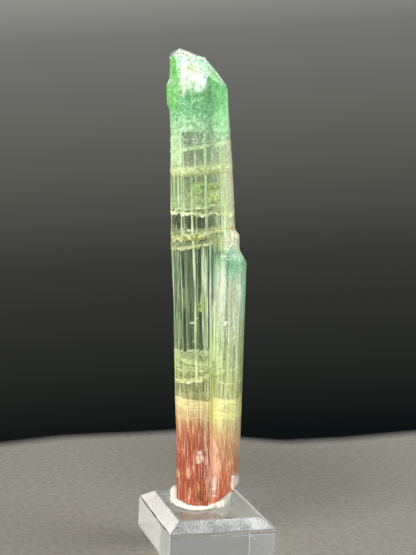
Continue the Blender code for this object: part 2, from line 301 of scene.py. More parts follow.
# %% Room light
ROOM_UP, DARK_CORNER = (-0.11, 0.035, 1.0), (0.05, 0.93, 0.36)
ROOM_GREYS = [
    (0.30, 0.4), (0.365, (0.4, 0.6, 0.6)), (0.437, (4.0, 4.1, 3.6)), (0.483, (10.5, 10.6, 9.4)),
    (0.53, (17.5, 17.8, 16.3)), (0.59, (50, 50, 47)), (0.63, (98, 98, 93)), (0.74, (95, 94, 90)),
    (0.80, 40), (1.0, 30)]
scene = bpy.context.scene
scene.view_settings.view_transform = "Standard"
room = bpy.data.worlds.new("room")
scene.world = room
room.use_nodes = True
tree = room.node_tree
looking = node(tree, "ShaderNodeTexCoord").outputs["Generated"]
height = maths(tree, "MULTIPLY_ADD", vector_maths(tree, "DOT_PRODUCT", looking, ROOM_UP), 0.5, 0.5)
behind = vector_maths(tree, "DOT_PRODUCT", looking, DARK_CORNER)
in_corner = times(tree, spread(tree, behind, 0.84, 0.93), spread(tree, height, 0.565, 0.60))
shade = maths(tree, "SUBTRACT", 1.0, times(tree, in_corner, 0.66))
plug(tree, tree.nodes["Background"], {"Color": scaled(tree, ramp(tree, height, ROOM_GREYS), shade)})
print("room:", len(tree.nodes), "nodes")

# %% Soft boxes
def soft_box(name, towards, distance, size, power, colour=(1, 1, 1)):
    """A rectangular light aimed at the middle of the crystal."""
    middle = Vector((0, 0, 45 * MM))
    away = Vector(towards).normalized()
    bpy.ops.object.light_add(type="AREA", location=middle + away * distance,
                             rotation=away.to_track_quat("Z", "Y").to_euler())
    light = bpy.context.object
    light.name = name
    light.data.shape = "RECTANGLE"
    light.data.size, light.data.size_y = size
    light.data.energy = power
    light.data.color = colour


soft_box("window_right", (0.63, -0.16, 0.71), 0.45, (0.28, 0.28), 0.9)
soft_box("ceiling_lamp", (0.297, -0.007, 0.955), 0.45, (0.12, 0.12), 0.36)
soft_box("window_left", (-0.80, -0.53, 0.28), 0.50, (0.22, 0.36), 1.9, (1.0, 0.97, 0.92))
soft_box("front_fill", (-0.12, -0.97, 0.45), 0.60, (0.30, 0.20), 0.6)

# %% [markdown]
# ## The main crystal
# Tourmaline grows as a long prism with a rounded triangular section: three broad sides
# and three narrow ones, all scored lengthwise by growth. It could be lofted from curves,
# but the sides have corners that must stay sharp, so a disc of points is extruded up
# through many heights, and each ring is then moved onto the outline that it has there.
# The outline is walked side by side; the flutes are small steps in and out of it.

# %% Outline of the main crystal
BROAD_SIDE, NARROW_SIDE = 8.1, 3.33
FACE_TURN, HEX_TURN = math.radians(16.1), math.radians(60)
AXIS_FOOT, AXIS_TOP, AXIS_FORWARD = (8.0, -0.35), (84.0, -5.65), -1.0
EDGES_MAIN = (
    # height, left, right
    (6.0, -5.3, 5.2), (14.7, -5.84, 5.1), (21.6, -6.2, 4.9), (27.7, -6.69, 4.7),
    (36.9, -7.32, 4.4), (46.0, -7.9, 4.1), (55.6, -8.8, 3.63), (57.9, -8.92, 3.5),
    (59.0, -9.0, 2.65), (66.1, -9.4, 1.98), (71.0, -9.65, 1.48), (76.4, -9.92, 0.8),
    (79.9, -10.2, 0.38), (80.8, -10.72, 0.27), (84.0, -11.0, -0.02), (85.3, -10.5, -0.12),
    (94.0, -10.8, -0.5),
)
STEP_DEPTH = ((6.0, 0.25), (15.0, 0.5), (30.0, 1.2), (55.0, 1.6), (94.0, 1.75))
STEP_START_LOW, STEP_START_HIGH, STEP_RUN = 1.0, 1.55, 0.75
MAIN_COUNTS = (7, 19, 7, 19, 5, 7, 3, 12)       # flutes on each side of the section
MAIN_BOW = (0.08, 0.45, 0.08, 0.45, 0.05, 0.1, 0.0, 0.22)
FINER = 5                                       # outline points in each flute
CALM_FROM, CALM_OVER, CALM = 66, 8, 0.45        # the flutes soften towards the tip
TOP_SCALE = 0.94


def walk_polygon(start, heading, lengths, turn):
    corners = [start]
    for length in lengths:
        corners.append((corners[-1][0] + length * math.cos(heading),
                        corners[-1][1] + length * math.sin(heading)))
        heading += turn
    return corners


def outward(before, after):
    length = math.dist(before, after)
    return (after[1] - before[1]) / length, (before[0] - after[0]) / length


def moved_in(points, inset):
    """The same outline, drawn in by a distance."""
    moved = []
    for index, point in enumerate(points):
        normal = outward(points[index - 3], points[(index + 3) % len(points)])
        moved.append((point[0] - normal[0] * inset, point[1] - normal[1] * inset))
    return moved


def level_field(number, height):
    """No flutes and no scores at all."""
    return 0.0


def flute_field(seed, depth):
    """How proud each flute is: it swells and fades going up."""
    chance = random.Random(seed)
    rows = [(chance.uniform(-1, 1), chance.uniform(0.03, 0.11), chance.uniform(0, math.tau))
            for _ in range(sum(MAIN_COUNTS))]

    def proud(number, height):
        size, rate, phase = rows[number]
        calm = mix(1.0, CALM, (height - CALM_FROM) / CALM_OVER)
        return calm * depth * size * (0.65 + 0.35 * math.cos(phase + rate * height))
    return proud


def fine_scoring(seed, count, depth):
    """Fine lengthwise scores: a few points wide, each fading in and out up the crystal."""
    chance = random.Random(seed)
    scores = []
    while len(scores) < count:
        wide = chance.choice((1, 1, 2, 3, 4))
        size = chance.uniform(-1, 1) * depth
        rate, phase = chance.uniform(0.05, 0.35), chance.uniform(0, math.tau)
        scores += [(size, rate, phase)] * wide

    def proud(number, height):
        size, rate, phase = scores[number]
        return size * (0.6 + 0.4 * math.cos(phase + rate * height))
    return proud


def scored(corners, counts, bow, flutes, height, fine):
    """Points round the outline: sides bowed out, fluted, and finely scored."""
    points = []
    number = 0
    for index, count in enumerate(counts):
        a, b = corners[index], corners[(index + 1) % len(corners)]
        normal = outward(a, b)
        for step in range(count * FINER):
            low, part = divmod(step / FINER, 1)
            low = int(low)
            before = flutes(number + low, height) if low else 0.0
            after = flutes(number + low + 1, height) if low + 1 < count else 0.0
            share = step / (count * FINER)
            out = bow[index] * 4 * share * (1 - share) + mix(before, after, part)
            if step:
                out += fine(len(points), height)
            points.append((a[0] + (b[0] - a[0]) * share + normal[0] * out,
                           a[1] + (b[1] - a[1]) * share + normal[1] * out))
        number += count
    return points


# %% The main crystal's section at a height
def six_corners():
    to_front = (BROAD_SIDE + 2 * NARROW_SIDE) * math.sqrt(3) / 6
    sin, cos = math.sin(FACE_TURN), math.cos(FACE_TURN)
    front_left = (to_front * sin - BROAD_SIDE / 2 * cos, to_front * cos + BROAD_SIDE / 2 * sin)
    lengths = (NARROW_SIDE, BROAD_SIDE, NARROW_SIDE, BROAD_SIDE, NARROW_SIDE)
    return walk_polygon(front_left, math.pi - FACE_TURN + HEX_TURN, lengths, HEX_TURN)


def stepped_corners(height, share):
    """The six corners, with the front face set back to the right of its step."""
    corners = six_corners()
    front_left, front_right = corners[0], corners[5]
    set_back = along(STEP_DEPTH, height)
    down_side = FACE_TURN + HEX_TURN
    shortened = set_back / math.sin(HEX_TURN)
    right = (front_right[0] + shortened * math.cos(down_side),
             front_right[1] - shortened * math.sin(down_side))
    start = mix(STEP_START_LOW, STEP_START_HIGH, share)
    end = start + STEP_RUN
    slope = math.tan(FACE_TURN)
    outer = (start, front_left[1] - slope * (start - front_left[0]))
    inner = (end, front_left[1] - slope * (end - front_left[0]) - set_back / math.cos(FACE_TURN))
    return corners[:5] + [right, inner, outer]


def main_axis(height):
    share = (height - AXIS_FOOT[0]) / (AXIS_TOP[0] - AXIS_FOOT[0])
    return share, AXIS_FOOT[1] + (AXIS_TOP[1] - AXIS_FOOT[1]) * share, mix(1.0, TOP_SCALE, share)


main_flutes = flute_field(11, 0.13)
main_scores = fine_scoring(3, sum(MAIN_COUNTS) * FINER, 0.022)


def main_section(height, inset=0.0, fine=main_scores, flutes=main_flutes):
    """The main crystal's outline at a height, or the same outline moved inwards."""
    share, axis, depth = main_axis(height)
    corners = stepped_corners(height, share)
    left = (along(EDGES_MAIN, height, 1) - axis) / min(corner[0] for corner in corners)
    right = (along(EDGES_MAIN, height, 2) - axis) / max(corner[0] for corner in corners)
    points = [(axis + a * (right if a > 0 else left), AXIS_FORWARD + f * depth)
              for a, f in scored(corners, MAIN_COUNTS, MAIN_BOW, flutes, height, fine)]
    return moved_in(points, inset) if inset else points


halfway = main_section(40)
print("outline of", len(halfway), "points, perimeter %.1f mm"
      % sum(math.dist(a, b) for a, b in zip(halfway, halfway[1:])))


# %% Raise a prism from a disc
def new_disc(name, count, level=0.0):
    """A round face of points, from which a prism, a sheet or the putty is raised."""
    select_only()
    bpy.ops.mesh.primitive_circle_add(vertices=count, radius=4 * MM, fill_type="NGON",
                                      location=(0, 0, level * MM))
    disc = bpy.context.object
    disc.name = name
    bpy.ops.object.transform_apply(location=True, rotation=True, scale=True)
    return disc


def raise_prism(name, heights, section):
    """Extrude a disc up through the heights, then move each ring onto its outline."""
    rings = [section(height) for height in heights]
    count = len(rings[0])
    prism = new_disc(name, count, heights[0])
    number = prism.data.attributes.new("number", "INT", "POINT")
    number.data.foreach_set("value", range(count))
    edit_all()
    for low, high in zip(heights, heights[1:]):
        extrude_up((high - low) * MM)
    edit_done()
    order = prism.data.attributes["number"].data
    for vertex in prism.data.vertices:
        level = min(range(len(heights)), key=lambda i: abs(heights[i] * MM - vertex.co.z))
        vertex.co = crystal_point(*rings[level][order[vertex.index].value], heights[level])
    face_outwards()
    return prism


# %% Cleave it by sloping planes
def cleave(prism, planes, lift=0.0, keep_below=True):
    """Slice the prism by each plane and close the cut with a flat face.

    A plane is its level on the crystal's axis and its rise to the right and to the front.
    """
    for level, slope_across, slope_forward in planes:
        origin = crystal_point(0, 0, level + lift)
        to_right = crystal_point(1, 0, level + lift + slope_across) - origin
        to_front = crystal_point(0, 1, level + lift + slope_forward) - origin
        normal = to_front.cross(to_right).normalized()
        if (normal.z > 0) != keep_below:
            normal.negate()
        select_only(prism)
        edit_all()
        bpy.ops.mesh.bisect(plane_co=origin, plane_no=normal, use_fill=True, clear_outer=True,
                            threshold=1e-7)
        edit_done()


def steps(low, high, pitch, extra=()):
    """Evenly spaced heights, with some special ones put in."""
    count = max(1, round((high - low) / pitch))
    levels = [low + (high - low) * i / count for i in range(count + 1)]
    return sorted(set(round(h, 3) for h in levels if all(abs(h - e) > pitch / 3 for e in extra)) |
                  set(e for e in extra if low <= e <= high))


print("heights of a short prism:", steps(0.0, 4.0, 1.3, (2.5,)))

# %% Main crystal, cut by its cap and its broken foot
CAP_MAIN = [(level - forward * AXIS_FORWARD, across, forward) for level, across, forward in (
    # level, slope across, slope forward
    (85.44, -0.847, -1.241), (86.74, -0.535, -0.550), (84.86, -0.956, -0.550),
    (89.75, -0.044, 0.550), (86.90, -0.750, 0.750), (84.71, -1.142, 0.350),
    (83.80, -1.559, 0.300), (98.25, 0.800, -0.250), (135.0, 1.860, -7.460),
)]
FOOT_MAIN = ((8.00, 0.000, 0.000), (7.92, -0.190, 0.000), (6.63, 0.860, 0.200))
MAIN_LOW, MAIN_HIGH, PITCH = 6.0, 94.0, 1.3
main_levels = [row[0] for row in EDGES_MAIN]

main_prism = raise_prism("main_prism", steps(MAIN_LOW, MAIN_HIGH, PITCH, main_levels), main_section)
cleave(main_prism, CAP_MAIN)
cleave(main_prism, FOOT_MAIN, keep_below=False)
print("main prism:", len(main_prism.data.polygons), "faces, tip at %.2f mm"
      % max(v.co.z / MM for v in main_prism.data.vertices))


# %% [markdown]
# ## The side crystal
# A shorter crystal grew parallel to the first and joined it. It has the same habit, so
# it is made in the same way, with its own outline and cap, and the two are then united
# in one closed skin, as they are one stone.

# %% Outline of the side crystal
SIDE_COUNTS = (7, 5, 4, 5, 9, 8)
SIDE_BOW = (0.05, 0.0, 0.0, 0.05, 0.15, 0.12)
SIDE_FACES = (2.75, 4.5, 3.5, 4.0)              # from the front left corner, by the right
LEFT_FACE, LEFT_FACE_MORE = 2.15, 0.95          # wider where the main crystal steps back
SIDE_LOW, SIDE_HIGH = 7.0, 58.0
side_flutes = flute_field(29, 0.07)
side_scores = fine_scoring(8, sum(SIDE_COUNTS) * FINER, 0.016)


def front_of_main(across, height):
    """How far forward the main crystal's front face lies, left of its step."""
    _, axis, depth = main_axis(height)
    corner = six_corners()[0]
    return AXIS_FORWARD + depth * corner[1] - math.tan(FACE_TURN) * (across - axis - corner[0])


def side_section(height, inset=0.0, fine=side_scores):
    """The side crystal's outline at a height, or the same outline moved inwards."""
    share = (height - SIDE_LOW) / (SIDE_HIGH - SIDE_LOW)
    front, right, _, _ = SIDE_FACES
    reach = front * math.cos(FACE_TURN) + right * math.cos(FACE_TURN + HEX_TURN)
    start_across = mix(6.0, 5.0, share) - reach
    start = (start_across, front_of_main(start_across, height) + mix(0.5, 1.1, share))
    by_the_right = walk_polygon(start, -FACE_TURN, SIDE_FACES, -HEX_TURN)
    left_face = LEFT_FACE + mix(LEFT_FACE_MORE, 0, (height - 47.5) / 2)
    left_end = walk_polygon(start, math.pi - FACE_TURN + HEX_TURN, [left_face], 0)[1]
    corners = [start, left_end] + by_the_right[:0:-1]
    points = scored(corners, SIDE_COUNTS, SIDE_BOW, side_flutes, height, fine)
    return moved_in(points, inset) if inset else points


print("side outline of", len(side_section(40)), "points")

# %% Side crystal, cut by its own cap
APEX_ACROSS, APEX_HEIGHT = 2.2, 56.7
apex_forward = front_of_main(APEX_ACROSS, APEX_HEIGHT) + 1.1 - 1.9
CAP_SIDE = [(APEX_HEIGHT + lift - across * APEX_ACROSS - forward * apex_forward, across, forward)
            for lift, across, forward in (
                # lift above the apex, slope across, slope forward
                (0.0, -0.847, -1.241), (0.0, 1.050, -0.200), (0.0, -0.730, 0.150),
                (0.9, -1.500, 0.200), (0.0, 0.050, 0.550))]
FOOT_SIDE = ((8.60, 0.050, 0.050), (6.75, 0.840, 0.200))

side_heights = steps(SIDE_LOW, SIDE_HIGH, PITCH, (16.0, 26.0, 36.0, 47.5, 49.5))
side_prism = raise_prism("side_prism", side_heights, side_section)
cleave(side_prism, CAP_SIDE)
cleave(side_prism, FOOT_SIDE, keep_below=False)
print("side prism:", len(side_prism.data.polygons), "faces")

# %% Unite the two in one skin
def combine(piece, other, operation):
    """Apply a boolean with another closed piece, and remove that piece."""
    select_only(piece)
    boolean = piece.modifiers.new("join", "BOOLEAN")
    boolean.operation = operation
    boolean.solver = "MANIFOLD"
    boolean.object = other
    bpy.ops.object.modifier_apply(modifier=boolean.name)
    bpy.data.objects.remove(other)


combine(main_prism, side_prism, "UNION")
crystal_skin = main_prism
crystal_skin.name = "crystal_skin"
print("united skin:", len(crystal_skin.data.polygons), "faces")

# %% Break the edges of the caps
BROKEN_WIDTH = 0.15
FACES_UP, TILTED_UP, SHARP = 0.15, 0.12, math.radians(10)
SMALLEST_FACET = 1.0 * MM * MM

beside = {}
for polygon in crystal_skin.data.polygons:
    for key in polygon.edge_keys:
        beside.setdefault(key, []).append((polygon.center.copy(), polygon.normal.copy(), polygon.area))


def is_cap_edge(edge):
    """A sharp convex edge between two facets, of which one is a cap's."""
    pair = beside.get(edge.key, [])
    if len(pair) != 2:
        return False
    (here, facing, area), (there, other, other_area) = pair
    if max(facing.z, other.z) < FACES_UP or min(facing.z, other.z) < TILTED_UP:
        return False
    if min(area, other_area) < SMALLEST_FACET:
        return False
    return facing.angle(other, 0.0) > SHARP and (there - here).dot(facing) < 0


crystal_skin.data.materials.clear()
for _ in range(2):
    crystal_skin.data.materials.append(None)
edit_selected(crystal_skin, "EDGE", is_cap_edge)
bpy.ops.mesh.bevel(offset=BROKEN_WIDTH * MM, segments=1, affect="EDGES", clamp_overlap=False, material=1)
edit_done()
print("broken edges:", sum(p.material_index == 1 for p in crystal_skin.data.polygons), "faces")
select_only(crystal_skin)
bpy.ops.object.shade_smooth_by_angle(angle=math.radians(28))
print("crystal skin:", sum(len(p.vertices) - 2 for p in crystal_skin.data.polygons), "triangles")

# %% [markdown]
# ## Patterns that follow the growth
# Everything in the stone is drawn out lengthwise. One node group turns a point of the
# object into distances across, forward and up in the leaning crystal, in millimetres,
# and a stretched copy of them in which any noise becomes lengthwise streaks.

# %% Growth coordinates group
LEAN = (AXIS_FOOT[1] - AXIS_TOP[1]) / (AXIS_TOP[0] - AXIS_FOOT[0])
STRETCH = 0.04                                  # a streak is 25 times as long as it is wide
GROWTH_OUTPUTS = {"Across": "NodeSocketFloat", "Forward": "NodeSocketFloat", "Height": "NodeSocketFloat",
                  "Place": "NodeSocketVector", "Streaked": "NodeSocketVector"}

growth = bpy.data.node_groups.new("growth_coordinates", "ShaderNodeTree")
growth.interface.new_socket("Stretch", in_out="INPUT", socket_type="NodeSocketFloat").default_value = STRETCH
for label, kind in GROWTH_OUTPUTS.items():
    growth.interface.new_socket(label, in_out="OUTPUT", socket_type=kind)
arriving, leaving = node(growth, "NodeGroupInput"), node(growth, "NodeGroupOutput")
spot = node(growth, "ShaderNodeTexCoord").outputs["Object"]
cos_turn, sin_turn = math.cos(CRYSTAL_TURN) / MM, math.sin(CRYSTAL_TURN) / MM
axes = [vector_maths(growth, "DOT_PRODUCT", spot, direction) for direction in (
    (cos_turn, sin_turn, LEAN / MM), (sin_turn, -cos_turn, 0), (0, 0, 1 / MM))]
places = [node(growth, "ShaderNodeCombineXYZ", {"X": axes[0], "Y": axes[1], "Z": up}).outputs[0]
          for up in (axes[2], times(growth, axes[2], arriving.outputs["Stretch"]))]
plug(growth, leaving, dict(zip(GROWTH_OUTPUTS, axes + places)))


def growth_of(tree, stretch=STRETCH):
    """Across, forward, height, place and streaked place, for use in a material."""
    return node(tree, "ShaderNodeGroup", {"Stretch": stretch}, node_tree=growth).outputs


def by_height(tree, height, stops):
    """A colour ramp whose stops are heights in millimetres."""
    low, high = stops[0][0], stops[-1][0]
    return ramp(tree, spread(tree, height, low, high),
                [((up - low) / (high - low), colour) for up, colour in stops])


print("growth group:", len(growth.nodes), "nodes")

# %% [markdown]
# ## The clear stone
# Tourmaline bends light strongly (index 1.63) and its colour is in the stone itself, so
# the skin is plain glass with a tint that changes with height, and a light green
# absorption through its depth. Shadow rays pass straight through, mixed with a
# transparent shader, so that what is inside gets light.

# %% Mixing, bumps, and light through clear materials
def mix_colours(tree, share, low, high):
    """Two colours mixed; the second may be plain."""
    high = high if isinstance(high, bpy.types.NodeSocket) else (*rgb(high), 1)
    return node(tree, "ShaderNodeMix", {0: share, 6: low, 7: high}, data_type="RGBA").outputs[2]


def blend(tree, share, low, high):
    return node(tree, "ShaderNodeMix", {0: share, 2: low, 3: high}).outputs[0]


def bump(tree, height, distance, strength, under=None):
    """Bumps of a height in metres, on top of the bumps in `under`."""
    inputs = {"Height": height, "Distance": distance, "Strength": strength}
    if under:
        inputs["Normal"] = under
    return node(tree, "ShaderNodeBump", inputs).outputs["Normal"]


def facing_up(tree):
    """How far a face is turned up: 1 for level, 0 for upright."""
    normal = node(tree, "ShaderNodeTexCoord").outputs["Normal"]
    return node(tree, "ShaderNodeSeparateXYZ", {"Vector": normal}).outputs["Z"]


def let_light_in(tree, shader, tint):
    """Let shadow rays pass with a tint."""
    clear = node(tree, "ShaderNodeBsdfTransparent", {"Color": (*rgb(tint), 1)})
    is_shadow = node(tree, "ShaderNodeLightPath").outputs["Is Shadow Ray"]
    passing = node(tree, "ShaderNodeMixShader", {0: is_shadow, 1: shader.outputs[0], 2: clear.outputs[0]})
    plug(tree, tree.nodes["Material Output"], {"Surface": passing.outputs[0]})


# %% Stone material
TOURMALINE_INDEX, GREEN_DENSITY = 1.63, 22.0
STONE_TINT = [(8, (93, 55, 45)), (21, (95, 68, 55)), (25, (97, 95, 76)), (40, (93, 98, 84)),
              (70, (90, 98, 88)), (80, (88, 97, 90)), (91, (90, 97, 92))]
CHIP_TINT, SHADOW_TINT = (98, 95, 93), (92, 96, 90)

stone, tree, shader = new_material("tourmaline_stone")
across, _, up, place, streaked = growth_of(tree)
chipped = times(tree, spread(tree, across, 5.1, 5.4), spread(tree, up, 15.2, 14.6))
tint = mix_colours(tree, chipped, by_height(tree, up, STONE_TINT), CHIP_TINT)
# Only the caps are etched; a strip of the side crystal and the upper sides are pitted.
streak = noise_of(tree, streaked, 3.0, 4.0)
on_cap = spread(tree, facing_up(tree), 0.25, 0.4)
etched = times(tree, on_cap, spread(tree, across, 2.6, 3.4), spread(tree, up, 64.0, 66.0))
strip = times(tree, spread(tree, across, 4.7, 5.1), spread(tree, up, 56.0, 57.5))
pitted = maths(tree, "MAXIMUM", strip, times(tree, spread(tree, up, 66.0, 72.0), 0.8))
hillocks = noise_of(tree, place, 1.9, 2.5, 0.55, 0.4)
broken = plus(tree, times(tree, noise_of(tree, place, 0.9, 2.0, 0.5, 1.6), 3.0), hillocks)
hillocks = blend(tree, spread(tree, up, 57.5, 58.5), broken, hillocks)
rough = plus(tree, spread(tree, streak, 0.3, 0.7, 0.0, 0.04), times(tree, etched, 0.3),
             times(tree, on_cap, spread(tree, hillocks, 0.4, 0.65, 0.0, 0.08)), times(tree, strip, 0.2))
scores = bump(tree, streak, 0.0001, 0.35)
etching = bump(tree, hillocks, 0.0002, on_cap, scores)
pits = bump(tree, hillocks, 0.00022, maths(tree, "SUBTRACT", pitted, on_cap, clamp=True), etching)
plug(tree, shader, {"Base Color": tint, "Transmission Weight": 1.0, "IOR": TOURMALINE_INDEX,
                    "Roughness": rough, "Normal": pits})
let_light_in(tree, shader, SHADOW_TINT)
green_depth = node(tree, "ShaderNodeVolumeAbsorption",
                   {"Color": (0.86, 0.97, 0.85, 1), "Density": GREEN_DENSITY})
plug(tree, tree.nodes["Material Output"], {"Volume": green_depth.outputs["Volume"]})
print("stone:", len(tree.nodes), "nodes")

# %% Painted highlight on the edges of the caps
# The broken edges of the caps carry a painted highlight: a dashed white line, mottled with the stone's green,
# for the light that a crisp edge catches.
edge_highlight, tree, shader = new_material("edge_highlight")
wear_and_glint = noise_of(tree, growth_of(tree)["Place"], 2.2, 4.0, 0.6)
plug(tree, shader, {"Base Color": ramp(tree, wear_and_glint, [(0.38, (38, 62, 46)), (0.49, (90, 91, 88))]),
                    "Roughness": spread(tree, wear_and_glint, 0.35, 0.6, 0.15, 0.4)})
finish_piece(crystal_skin, [stone, edge_highlight], "tourmaline", "tourmaline_crystal")

# %% [markdown]
# ## Haze inside the stone
# The tip is clouded by fine green inclusions and the foot by red ones. Between them
# bundles of hollow growth tubes, thinner than a hair, run just under the faces and show
# as pale stripes beside clear windows. A volume would be true but slow and it can't be
# exported, so each crystal gets a closed body a little inside its skin whose
# transparency is painted: a "haze" value for each flute and height.

# %% Where the main crystal is hazy
HAZE_MAIN = (
    # height, haze
    (8, 1.0), (23, 1.0), (27.3, 0.97), (27.8, 0.3), (30, 0.26), (34, 0.24), (35.2, 0.0), (56, 0.0),
    (61.7, 0.0), (62.3, 0.13), (66, 0.16), (70, 0.16), (75.9, 0.22), (76.6, 0.9), (80, 1.0), (92, 1.0),
)
# Stripes on the front, counted in flutes to the right of the front left corner.
STRIPES = (
    # from, to, lowest, highest, haze
    (-7.0, -6.5, 28, 78, 0.85), (-6.2, -5.5, 30, 56, 0.3), (-5.0, -4.5, 30, 57, 0.5),
    (-4.1, -3.7, 28, 56, 0.3), (-3.3, -2.9, 28, 57, 0.45), (-2.4, -1.9, 28, 57, 0.45),
    (-7.0, -0.6, 70, 79, 0.9), (-5.5, -4.6, 62, 70, 0.6), (-3.2, -2.3, 62, 70, 0.7),
    (-1.5, -0.9, 57, 70, 0.6), (-0.2, 0.6, 57, 76, 0.8), (0.7, 3.9, 31, 56, 0.08),
    (-7.0, 3.0, 26, 30, 0.42), (5.9, 7.0, 68, 73.4, 0.8), (3.9, 5.1, 57, 68, 0.7),
    (4.5, 5.9, 30, 57, 0.78), (6.5, 7.1, 57, 68, 0.6), (6.7, 7.0, 40, 56, 0.3),
    (8.8, 11.0, 36, 56, 0.62), (9.4, 10.0, 28, 36, 0.6), (11.0, 12.5, 57, 76.5, 0.85),
    (12.8, 13.6, 24, 57, 0.97), (11.5, 12.0, 28, 56, 0.75), (13.4, 15.6, 27, 46, 0.75),
    (14.2, 14.8, 57, 68, 0.5), (15.2, 15.8, 68, 76, 0.6), (14.6, 17.6, 40, 57, 0.24),
    (18.0, 20.4, 57, 76.5, 0.8), (20.4, 28.0, 57, 77, 0.72), (18.0, 28.5, 53.5, 59, 0.85),
    (15.4, 17.6, 57.5, 62.5, 0.5),
)
FIRST_HIDDEN, LAST_HIDDEN = 8.0, 50
BEHIND_FLUTE = 51                               # from here on, flutes count from the other end
SOFT_SIDES, SOFT_ENDS = 0.2, 1.5

chance = random.Random(17)
hidden_stripes = []
position = FIRST_HIDDEN
while position < LAST_HIDDEN:
    wide = chance.choice((0.3, 0.4, 0.6, 0.9, 1.4))
    low = chance.uniform(27, 40)
    hidden_stripes.append((-position - wide, -position, low, chance.uniform(low + 15, 77),
                           chance.uniform(0.04, 0.2)))
    position += wide + chance.uniform(0.8, 3.2)


def haze_main(number, height):
    flute = number / FINER
    flute = sum(MAIN_COUNTS) - flute if flute > BEHIND_FLUTE else -flute
    haze = along(HAZE_MAIN, height)
    for left, right, low, high, strength in STRIPES + tuple(hidden_stripes):
        inside = mix(0.0, 1.0, min(flute - left, right - flute) / SOFT_SIDES + 0.5)
        ends = mix(0.0, 1.0, min(height - low, high - height) / SOFT_ENDS + 0.5)
        haze = max(haze, strength * inside * ends)
    return haze


print(len(STRIPES), "stripes on the front,", len(hidden_stripes), "on the hidden sides")

# %% Where the side crystal is hazy
HAZE_SIDE = (
    # height, haze
    (8, 1.0), (27.9, 1.0), (28.4, 0.72), (33, 0.7), (36, 0.72), (44, 0.8), (52, 0.75), (54, 0.4),
    (57, 0.3),
)
# Clear gaps in the side crystal, counted in flutes from its front left edge.
SIDE_GAPS = (
    # from, to, lowest, highest, how clear
    (0.0, 0.35, 28, 54, 0.6), (37.1, 38.0, 28, 53, 0.6), (4.4, 4.8, 30, 50, 0.35),
    (31.6, 32.2, 28, 40, 0.6), (12.0, 14.0, 24, 57, 0.5), (24.0, 26.0, 30, 55, 0.5),
)


def haze_side(number, height):
    flute = number / FINER
    haze = along(HAZE_SIDE, height)
    for left, right, low, high, strength in SIDE_GAPS:
        if left < flute < right and low < height < high:
            haze -= strength
    return max(0.0, haze)


def paint(piece, name, value_of):
    """Store a value for every point, from its flute number and height."""
    order = [each.value for each in piece.data.attributes["number"].data]
    values = [value_of(order[v.index], v.co.z / MM) for v in piece.data.vertices]
    layer = piece.data.attributes.new(name, "FLOAT", "POINT")
    layer.data.foreach_set("value", values)
    print(piece.name, name, "mean %.2f" % (sum(values) / len(values)))


print(len(SIDE_GAPS), "clear gaps in the side crystal")

# %% Haze bodies, a quarter of a millimetre inside the skin
MAIN_INSET, SIDE_INSET, MAIN_DROP, SIDE_DROP, FOOT_LIFT = 0.26, 0.22, 0.45, 0.4, 0.06
HAZE_PITCH = 1.2


def smooth_section(section, inset):
    return lambda height: section(height, inset, level_field)


def keep_inside(piece, gap):
    """Draw in any point that lies outside the skin, or nearer to it than the gap."""
    select_only(piece)
    wrap = piece.modifiers.new("inside", "SHRINKWRAP")
    wrap.target = crystal_skin
    wrap.wrap_mode = "INSIDE"
    wrap.offset = gap * MM
    bpy.ops.object.modifier_apply(modifier=wrap.name)


main_levels += [27.3, 27.8, 35.0, 75.9, 76.6]
main_haze = raise_prism("main_haze", steps(MAIN_LOW, MAIN_HIGH, HAZE_PITCH, main_levels),
                        smooth_section(main_section, MAIN_INSET))
cleave(main_haze, CAP_MAIN, -MAIN_DROP)
cleave(main_haze, FOOT_MAIN, FOOT_LIFT, keep_below=False)
paint(main_haze, "haze", haze_main)

side_haze = raise_prism("side_haze", steps(SIDE_LOW, SIDE_HIGH, HAZE_PITCH, (27.9, 28.4, 47.5, 49.5)),
                        smooth_section(side_section, SIDE_INSET))
cleave(side_haze, CAP_SIDE, -SIDE_DROP)
cleave(side_haze, FOOT_SIDE, FOOT_LIFT, keep_below=False)
paint(side_haze, "haze", haze_side)

# %% Haze material
WHITE_STREAK, WHITE_FLECK = (88, 93, 80), (94, 97, 92)
# A painted reflection: pale mottled tones for the caps, which stand for the window's light mirrored in them.
CAP_PAINTED_SHEEN = [(0.38, (40, 66, 64)), (0.47, (77, 78, 77)), (0.57, (79, 78, 75)), (0.64, (78, 68, 42))]


